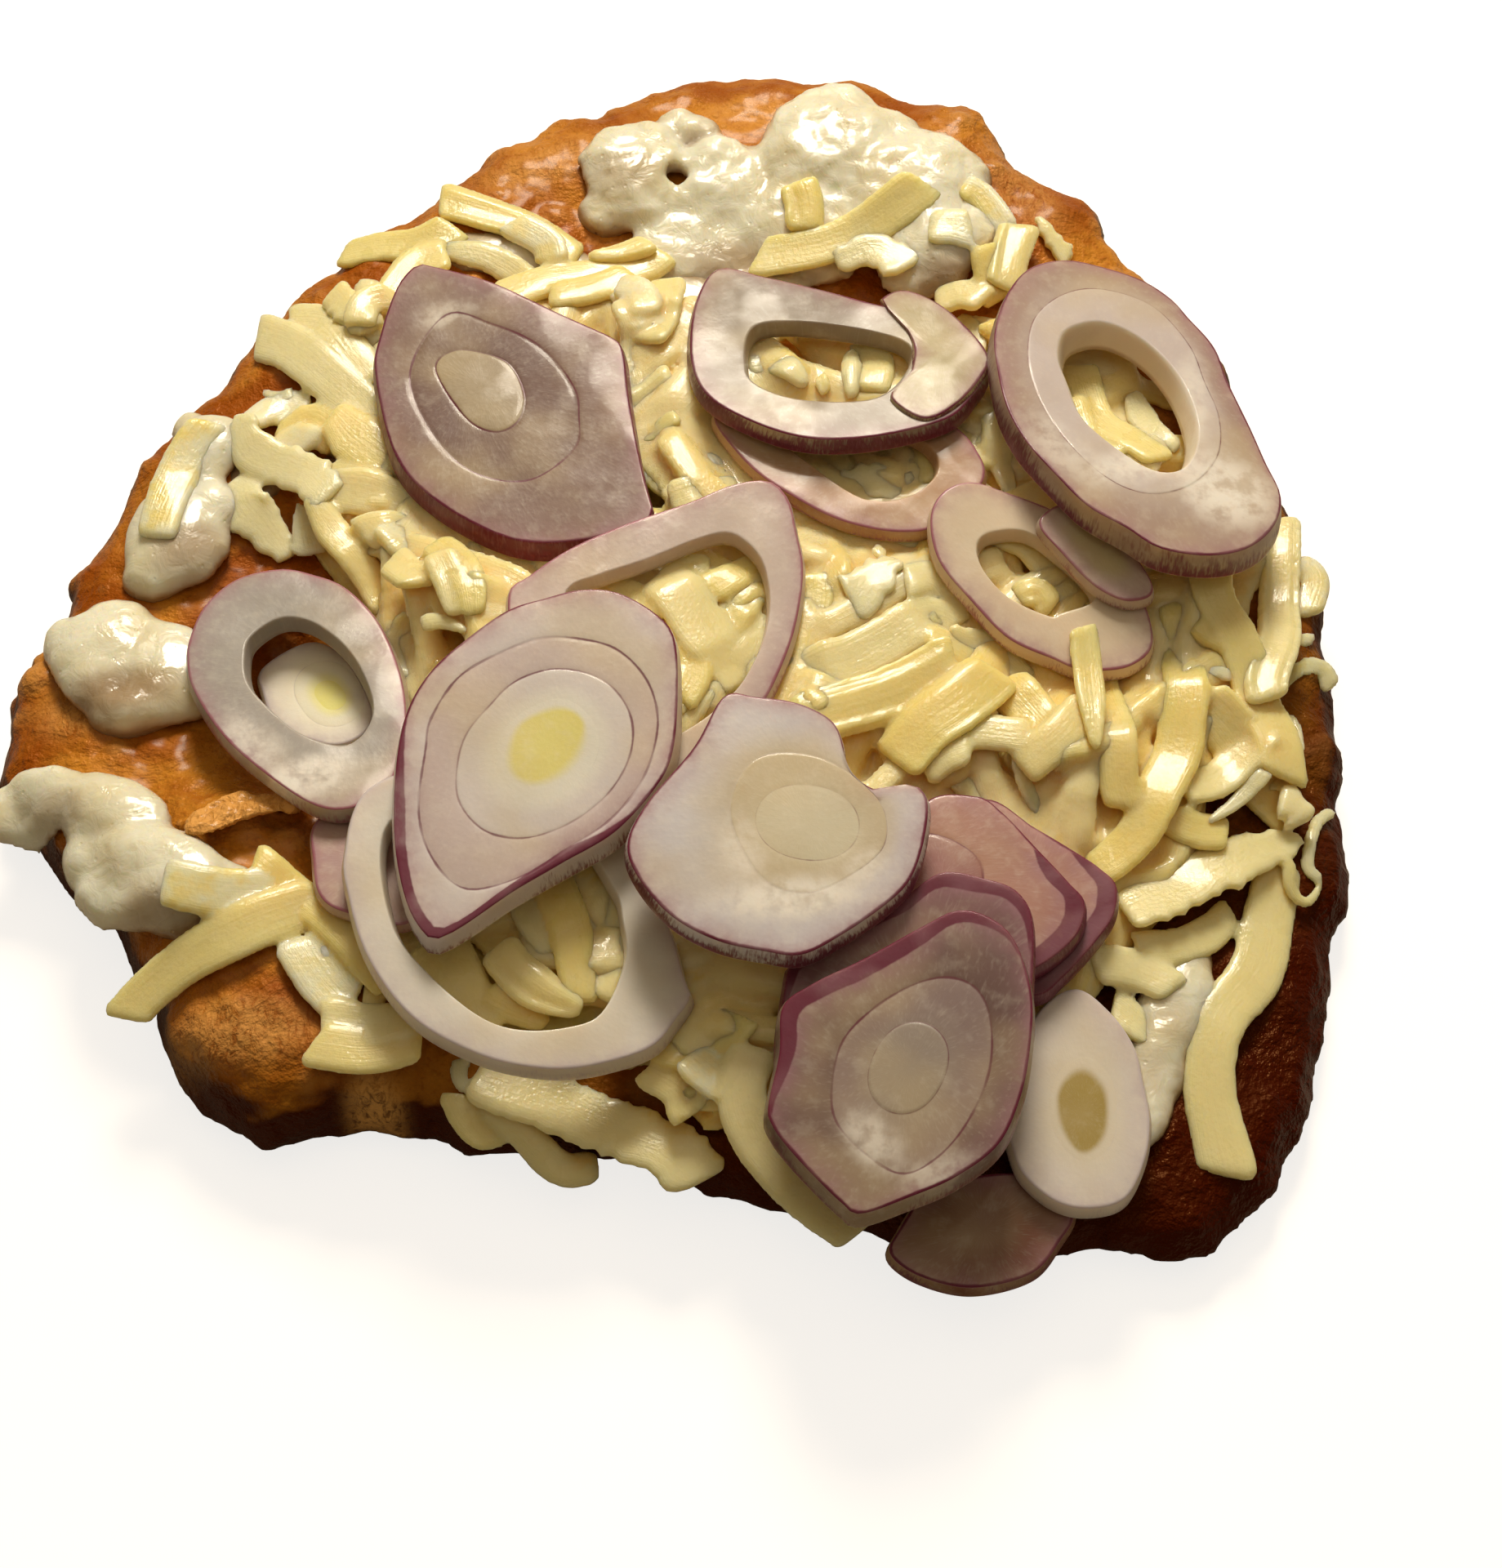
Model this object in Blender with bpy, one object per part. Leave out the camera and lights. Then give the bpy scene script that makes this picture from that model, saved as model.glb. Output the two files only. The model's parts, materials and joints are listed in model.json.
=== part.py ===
"""A langos: fried flatbread with sour cream, a heap of grated cheese and red onion slices.

The tables are in millimetres and the meshes in metres.
"""

import math

import bmesh
import bpy
import numpy as np
from mathutils import Matrix, Vector
from mathutils.bvhtree import BVHTree

MM = 0.001
GAP = 0.35

# Bread: degrees and radius of the outline, then the height of the rim every 15 degrees

EDGE = (
    (0, 100), (20, 97), (30, 101), (40, 99), (50, 105), (55, 103), (65, 112.5), (70, 108.5), (75, 111),
    (80, 108), (85, 109), (100, 101), (115, 93.7), (120, 89.2), (125, 90.7), (130, 87.7), (150, 86.2),
    (165, 90.2), (180, 94.5), (190, 103), (196, 106), (203, 103.5), (212, 98.5), (219, 99), (230, 105.5),
    (236, 104.5), (245, 93), (265, 89), (280, 98), (285, 102.5), (290, 111), (300, 118), (305, 126),
    (310, 127.5), (315, 123.5), (330, 112), (345, 103.5),
)
RIM = (
    12.5, 13, 13.5, 14.5, 15, 14.5, 14, 14.5, 14, 14.5, 14, 14,
    13.5, 14, 16, 18, 17, 14, 12.5, 12, 11.5, 11, 11.5, 12,
)
MIDDLE = 9.0
LIP = 5.0
RIPPLE = 0.7
DISH_FROM = 0.5
DISH_TO = 0.8
WALL_FROM = 0.87
SEGMENTS = 120
BLISTERS = 46
BLISTER_SEED = 11
BLISTER_REACH = (0.62, 0.93)
BLISTER_RADIUS = (3.5, 7.5)
BLISTER_HEIGHT = (-0.9, 1.7)


def between(before, start, end, after, share):
    """Catmull-Rom value at a share of the way from start to end."""
    bend = 2 * before - 5 * start + 4 * end - after
    bend = bend + share * (3 * (start - end) + after - before)
    return start + 0.5 * share * (end - before + share * bend)


def around(values, angle):
    """Smooth periodic interpolation of evenly spaced values over a full turn."""
    v = np.asarray(values, float)
    t = (np.asarray(angle, float) / (2 * math.pi)) % 1.0 * len(v)
    i = np.floor(t).astype(int)
    f = t - i
    return between(*(v[(i + k) % len(v)] for k in (-1, 0, 1, 2)), f)


def bread_edge(angle):
    """Radius of the bread's outline: the measured points joined smoothly, with a small ripple."""
    turn = (np.asarray(angle, float) / (2 * math.pi)) % 1.0 * 360
    degrees = np.array([row[0] for row in EDGE] + [360.0 + EDGE[0][0]])
    radii = np.array([row[1] for row in EDGE] + [EDGE[0][1]])
    i = np.clip(np.searchsorted(degrees, turn, side="right") - 1, 0, len(EDGE) - 1)
    t = (turn - degrees[i]) / (degrees[i + 1] - degrees[i])
    plain = radii[i] + (radii[i + 1] - radii[i]) * t * t * (3 - 2 * t)
    ripple = np.sin(37 * angle + 1.4 * np.sin(3 * angle)) + 0.5 * np.sin(53 * angle + 1.0)
    return plain + RIPPLE * ripple


def blister_table():
    """Centre, radius and height of the broad swells and dents of the rim."""
    rng = np.random.default_rng(BLISTER_SEED)
    rows = []
    for _ in range(BLISTERS):
        angle = rng.uniform(0, 2 * math.pi)
        radius = float(bread_edge(angle)) * rng.uniform(*BLISTER_REACH)
        size, height = rng.uniform(*BLISTER_RADIUS), rng.uniform(*BLISTER_HEIGHT)
        rows.append((radius * math.cos(angle), radius * math.sin(angle), size, height))
    return rows


BLISTER_ROWS = blister_table()


def bread_top(x, y):
    """Height of the bread's upper surface in mm."""
    x, y = np.asarray(x, float), np.asarray(y, float)
    angle = np.arctan2(y, x)
    rho = np.hypot(x, y) / bread_edge(angle)
    step = np.clip((rho - DISH_FROM) / (DISH_TO - DISH_FROM), 0, 1)
    rise = step * step * (3 - 2 * step)
    floor = MIDDLE + 0.5 * np.sin(x / 13.0 + 0.6) * np.cos(y / 11.0) + 0.3 * np.sin(y / 6.5 + x / 9.0)
    z = floor + (around(RIM, angle) - floor) * rise
    for bx, by, radius, height in BLISTER_ROWS:
        z = z + height * np.exp(-((x - bx) ** 2 + (y - by) ** 2) / (radius * radius))
    fall = np.clip((rho - WALL_FROM) / (1 - WALL_FROM), 0, 1)
    return LIP + (z - LIP) * np.sqrt(np.clip(1 - fall**2.4, 0, 1))


# Heights of what lies on the table so far, on a 1 mm grid

LOW, HIGH = -125, 140
NOTHING = -50.0
OPEN_SKY = 1e3


def new_relief():
    n = HIGH - LOW + 1
    return np.full((n, n), NOTHING)


def cells(points):
    """Grid lines along X and Y that cross a mesh."""
    (x0, y0), (x1, y1) = np.floor(points[:, :2].min(axis=0)), np.ceil(points[:, :2].max(axis=0))
    xs, ys = np.arange(x0, x1 + 1), np.arange(y0, y1 + 1)
    return xs[(xs >= LOW) & (xs <= HIGH)], ys[(ys >= LOW) & (ys <= HIGH)]


def add_to_relief(relief, points, faces, underside=False):
    """Raises the relief to the top of a mesh, or lowers a ceiling to its underside."""
    tree = BVHTree.FromPolygons([tuple(p) for p in points], [tuple(f) for f in faces])
    start, way = (-60.0, (0, 0, 1)) if underside else (160.0, (0, 0, -1))
    xs, ys = cells(points)
    for x in xs:
        for y in ys:
            hit = tree.ray_cast((x + 0.001, y + 0.0013, start), way)[0]
            if hit is None:
                continue
            i, j = int(x) - LOW, int(y) - LOW
            relief[i, j] = min(relief[i, j], hit[2]) if underside else max(relief[i, j], hit[2])


def spread(relief, pick=np.maximum):
    """Each cell takes the highest (or lowest) of itself and its eight neighbours."""
    out = relief.copy()
    for di in (-1, 0, 1):
        for dj in (-1, 0, 1):
            out = pick(out, np.roll(np.roll(relief, di, 0), dj, 1))
    return out


def read(relief, x, y):
    """Height in the nearest cell."""
    i = np.clip(np.rint(np.asarray(x) - LOW).astype(int), 0, HIGH - LOW)
    j = np.clip(np.rint(np.asarray(y) - LOW).astype(int), 0, HIGH - LOW)
    return relief[i, j]


# Meshes


def triangles(faces):
    """The faces cut into triangles, each as a fan from its first corner."""
    out = []
    for f in faces:
        out.extend((f[0], f[k], f[k + 1]) for k in range(1, len(f) - 1))
    return out


def make_object(name, points, faces, material=None):
    """A new object of points in mm, with its faces turned outwards."""
    mesh = bpy.data.meshes.new(name)
    mesh.from_pydata([tuple(c * MM for c in p) for p in points], [], [tuple(f) for f in faces])
    mesh.validate()
    work = bmesh.new()
    work.from_mesh(mesh)
    bmesh.ops.recalc_face_normals(work, faces=work.faces)
    if work.calc_volume(signed=True) < 0:
        bmesh.ops.reverse_faces(work, faces=work.faces)
    work.to_mesh(mesh)
    work.free()
    obj = bpy.data.objects.new(name, mesh)
    bpy.context.scene.collection.objects.link(obj)
    if material:
        mesh.materials.append(material)
    return obj


def make_material(name, colour, roughness):
    material = bpy.data.materials.new(name)
    material.use_nodes = True
    shader = material.node_tree.nodes["Principled BSDF"]
    shader.inputs["Base Color"].default_value = (*colour, 1)
    shader.inputs["Roughness"].default_value = roughness
    shader.inputs["Metallic"].default_value = 0
    material.diffuse_color = (*colour, 1)
    return material


def mesh_data(obj):
    """Points in mm and triangles of an object."""
    points = np.array([v.co for v in obj.data.vertices]) / MM
    return points, triangles([tuple(p.vertices) for p in obj.data.polygons])


def stack(rings, middle_low, middle_high):
    """Closed skin through equal rings from the underside round to the top, with a point at each end."""
    n = len(rings[0])
    points = [middle_low] + [p for ring in rings for p in ring] + [middle_high]
    faces = [(0, 1 + (k + 1) % n, 1 + k) for k in range(n)]
    for level in range(len(rings) - 1):
        a, b = 1 + level * n, 1 + (level + 1) * n
        faces += [(a + k, a + (k + 1) % n, b + (k + 1) % n, b + k) for k in range(n)]
    last, tip = 1 + (len(rings) - 1) * n, len(points) - 1
    faces += [(last + k, last + (k + 1) % n, tip) for k in range(n)]
    return points, faces


def closed_bar(rings):
    """Closed skin along a bar, from the middle of its first cross-section to the middle of its last."""
    first, last = (tuple(np.mean(ring, axis=0)) for ring in (rings[0], rings[-1]))
    return stack(rings, first, last)


def join(target, others, name):
    """One Boolean union of the target with all the others."""
    group = bpy.data.collections.new(name + "_pieces")
    bpy.context.scene.collection.children.link(group)
    for obj in others:
        bpy.context.scene.collection.objects.unlink(obj)
        group.objects.link(obj)
    union = target.modifiers.new("union", "BOOLEAN")
    union.operation = "UNION"
    union.operand_type = "COLLECTION"
    union.collection = group
    union.solver = "MANIFOLD"
    graph = bpy.context.evaluated_depsgraph_get()
    merged = bpy.data.meshes.new_from_object(target.evaluated_get(graph))
    target.modifiers.clear()
    old = target.data
    target.data = merged
    merged.name = name
    bpy.data.meshes.remove(old)
    for obj in list(group.objects):
        bpy.data.objects.remove(obj)
    bpy.data.collections.remove(group)
    keep_largest(target)
    return target


def keep_largest(obj):
    """Drops loose scraps and sealed gaps, so that the solid is one body."""
    work = bmesh.new()
    work.from_mesh(obj.data)
    work.faces.ensure_lookup_table()
    seen, parts = set(), []
    for face in work.faces:
        if face.index in seen:
            continue
        part, queue = [], [face]
        seen.add(face.index)
        while queue:
            at = queue.pop()
            part.append(at)
            for edge in at.edges:
                for other in edge.link_faces:
                    if other.index not in seen:
                        seen.add(other.index)
                        queue.append(other)
        parts.append(part)
    parts.sort(key=len)
    bmesh.ops.delete(work, geom=[face for part in parts[:-1] for face in part], context="FACES")
    work.to_mesh(obj.data)
    work.free()


# Bread

UNDER_RINGS = ((0.9, 0.0), (0.965, 1.3), (1.0, LIP))
TOP_SHARES_OF_EDGE = (0.97, 0.93, 0.88, 0.82, 0.75, 0.66, 0.52, 0.28)

# The flake of crust that stands up: x, y, width, height above the crust
FLAKE = ((-72, -41, 5.0, 0.4), (-67, -38.5, 6.5, 2.4), (-61, -37.5, 6.0, 3.4), (-54, -38, 4.0, 3.2))
FLAKE_THICK = 1.3
FLAKE_ROOT = 1.2
FLAKE_ROOT_THICK = 1.8


def bread_ring(rho, height=None):
    """A ring at a share of the outline's radius, at one height or on the upper surface."""
    ring = []
    for k in range(SEGMENTS):
        a = 2 * math.pi * k / SEGMENTS
        radius = rho * float(bread_edge(a))
        x, y = radius * math.cos(a), radius * math.sin(a)
        ring.append((x, y, float(bread_top(x, y)) if height is None else height))
    return ring


def make_flake():
    """The flake, from its low back edge in the crust to its raised front edge."""
    rings = []
    for x, y, width, lift in FLAKE:
        front, back = y - 0.5 * width, y + 0.5 * width
        z = float(bread_top(x, y)) + lift
        low = min(float(bread_top(x, back)), z) - FLAKE_ROOT
        ring = [(x, front, z), (x, back, low), (x, back, low + FLAKE_ROOT_THICK), (x, front, z + FLAKE_THICK)]
        rings.append(ring)
    return make_object("flake", *closed_bar(rings))


def make_bread(material):
    rings = [bread_ring(*row) for row in UNDER_RINGS] + [bread_ring(rho) for rho in TOP_SHARES_OF_EDGE]
    bread = make_object("bread", *stack(rings, (0, 0, 0), (0, 0, float(bread_top(0, 0)))), material)
    return join(bread, [make_flake()], "bread")


# Cream: mounds of x, y, radius along the slant, radius across, slant in degrees, height

CREAM = {
    "cream_top": (
        (-7.5, 80, 9.5, 12.5, 20, 4.5), (5, 77, 9, 11, -30, 4.0), (1, 66, 11, 9, 0, 3.6),
        (24, 85, 12.5, 12, 15, 5.5), (36, 77, 12, 13, -35, 5.0), (20, 70, 14, 10, 0, 3.6),
        (40, 64, 10, 9, -20, 4.2),
    ),
    "cream_left_upper": ((-74, 24, 6, 8.5, -10, 3.6), (-77, 8, 8.5, 11, -12, 4.8)),
    "cream_left_mid": ((-86, -13, 8.5, 10.5, 10, 4.4), (-76, -16, 9.5, 10, -15, 4.6)),
    "cream_left_low": (
        (-93, -37, 8, 6, 5, 3.6), (-81, -40, 9, 6.5, -15, 4.0), (-74, -51, 12, 8.5, -10, 5.6),
        (-62, -53, 6.5, 4, -30, 2.6),
    ),
    "cream_right_low": ((70, -70, 5.5, 12, -25, 4.0), (65, -84, 4.5, 8, -15, 3.0)),
}
CREAM_HOLE = (-1, 79, 1.9)
HOLE_SIDES = 10
HOLE_TOP = 40.0
LOBE_SIDES = 12
LOBE_FOOT = 0.25
LOBE_DROOP = 3.0
LOBE_LIP = 0.9

# Rings of a mound above its lip: share of the radius, share of the height
LOBE_RINGS = ((0.84, 0.68), (0.48, 0.95))


def lobe_wobble(index):
    """How much each side of a mound stands out or in, as a share of its radius."""
    rng = np.random.default_rng(index + 5)
    turns = [2 * math.pi * k / LOBE_SIDES for k in range(LOBE_SIDES)]
    return [1 + 0.07 * math.sin(3 * turn + index) + rng.uniform(-0.05, 0.05) for turn in turns]


def lobe_ring(row, wobble, rho, lift):
    """A ring of one mound, at a share of its radius and a height above the crust."""
    cx, cy, along, across, slant, _ = row
    cos, sin = math.cos(math.radians(slant)), math.sin(math.radians(slant))
    lowest = float(bread_top(cx, cy)) - LOBE_DROOP
    ring = []
    for k, share in enumerate(wobble):
        a = 2 * math.pi * k / LOBE_SIDES
        u, v = along * rho * share * math.cos(a), across * rho * share * math.sin(a)
        x, y = cx + u * cos - v * sin, cy + u * sin + v * cos
        ring.append((x, y, max(float(bread_top(x, y)), lowest) + GAP + lift))
    return ring


def lobe_mesh(index, row, ground):
    """One mound of cream, high enough to clear what is below it."""
    wobble, height = lobe_wobble(index), row[-1]
    rings = [lobe_ring(row, wobble, 0.97, LOBE_FOOT), lobe_ring(row, wobble, 1.0, LOBE_LIP)]
    rings += [lobe_ring(row, wobble, rho, share * height) for rho, share in LOBE_RINGS]
    cx, cy = row[:2]
    base = float(bread_top(cx, cy)) + GAP
    points, faces = stack(rings, (cx, cy, base + LOBE_FOOT), (cx, cy, base + height))
    lift = clearance_lift(np.array(points), triangles(faces), ground)
    return [(x, y, z + lift) for x, y, z in points], faces


def cut_hole(cream):
    """The round hole of the ring-shaped mound."""
    x, y, radius = CREAM_HOLE
    turns = [2 * math.pi * k / HOLE_SIDES for k in range(HOLE_SIDES)]
    round_it = [(x + radius * math.cos(a), y + radius * math.sin(a)) for a in turns]
    rings = [[(*spot, z) for spot in round_it] for z in (0.0, HOLE_TOP)]
    cutter = make_object("hole_cutter", *closed_bar(rings))
    cut = cream.modifiers.new("hole", "BOOLEAN")
    cut.operation = "DIFFERENCE"
    cut.object = cutter
    cut.solver = "MANIFOLD"
    graph = bpy.context.evaluated_depsgraph_get()
    cream.data = bpy.data.meshes.new_from_object(cream.evaluated_get(graph))
    cream.modifiers.clear()
    bpy.data.objects.remove(cutter)
    keep_largest(cream)


def make_cream(name, rows, ground, material):
    pieces = []
    for index, row in enumerate(rows):
        look = None if index else material
        pieces.append(make_object(f"{name}_lobe_{index}", *lobe_mesh(index, row, ground), look))
    cream = join(pieces[0], pieces[1:], name)
    cream.name = name
    if name == "cream_top":
        cut_hole(cream)
    return cream


def clearance_lift(points, faces, ground):
    """How far a piece has to rise to keep the gap above the ground."""
    under = np.full_like(ground, OPEN_SKY)
    add_to_relief(under, points, faces, underside=True)
    need = np.where((under < OPEN_SKY) & (ground > NOTHING), ground + GAP - under, 0)
    return float(max(0.0, need.max()))


# Cheese: a dome under the heap, then the shreds. Its radii are 10 degrees apart.

CORE_X, CORE_Y = 12.0, -12.0
CORE_RADII = (
    83, 84, 86, 88, 89, 89, 81, 72, 69, 68, 70, 78, 92, 97, 95, 88, 75, 63,
    59, 58, 61, 73, 82, 86, 84, 79, 77, 78, 82, 84, 82, 76, 72, 77, 79, 79,
)
CORE_SEGMENTS = 44
CORE_RISE = 12.0
CORE_FOOT = 1.2
CORE_EDGE = 1.0
UNDER_SHARES = (0.3, 0.55, 0.72, 0.86, 1.0)
EDGE_SHARE = 0.995
TOP_SHARES = (0.95, 0.86, 0.72, 0.52, 0.28)


def core_top(x, y):
    """Height of the dome's surface: a flat round top with low lumps, falling to the crust at its edge."""
    u, v = x - CORE_X, y - CORE_Y
    rho = math.hypot(u, v) / float(around(CORE_RADII, math.atan2(v, u)))
    lumps = 0.5 * math.sin(x / 8.0 + 1.3) * math.sin(y / 9.0) + 0.35 * math.cos(x / 5.0 - y / 7.0)
    rise = 0.0
    if rho < 1:
        rise = CORE_FOOT + (CORE_RISE - CORE_FOOT + lumps) * (1 - rho**2.6) ** 0.9
    return float(bread_top(x, y)) + rise


def core_rings(near, lift):
    """Rings of the dome from its underside, which follows what it lies on, round to its top."""

    def low(x, y):
        return float(read(near, x, y)) + GAP + lift

    def edge(x, y):
        return low(x, y) + CORE_EDGE

    def top(x, y):
        return max(core_top(x, y), edge(x, y) + 0.3)

    def level(rho, height):
        ring = []
        for k in range(CORE_SEGMENTS):
            a = 2 * math.pi * k / CORE_SEGMENTS
            radius = rho * float(around(CORE_RADII, a))
            x, y = CORE_X + radius * math.cos(a), CORE_Y + radius * math.sin(a)
            ring.append((x, y, height(x, y)))
        return ring

    rings = [level(rho, low) for rho in UNDER_SHARES] + [level(EDGE_SHARE, edge)]
    rings += [level(rho, top) for rho in TOP_SHARES]
    return stack(rings, (CORE_X, CORE_Y, low(CORE_X, CORE_Y)), (CORE_X, CORE_Y, top(CORE_X, CORE_Y)))


def make_core(ground, material):
    near = spread(spread(ground))
    points, faces = core_rings(near, 0.0)
    lift = clearance_lift(np.array(points), triangles(faces), ground)
    return make_object("cheese_heap", *core_rings(near, lift), material)


# Onion slices, in the order they were laid. An outline is a smooth loop through points, or else an oval:
# x, y, size, how much longer than wide, degrees.

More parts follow.
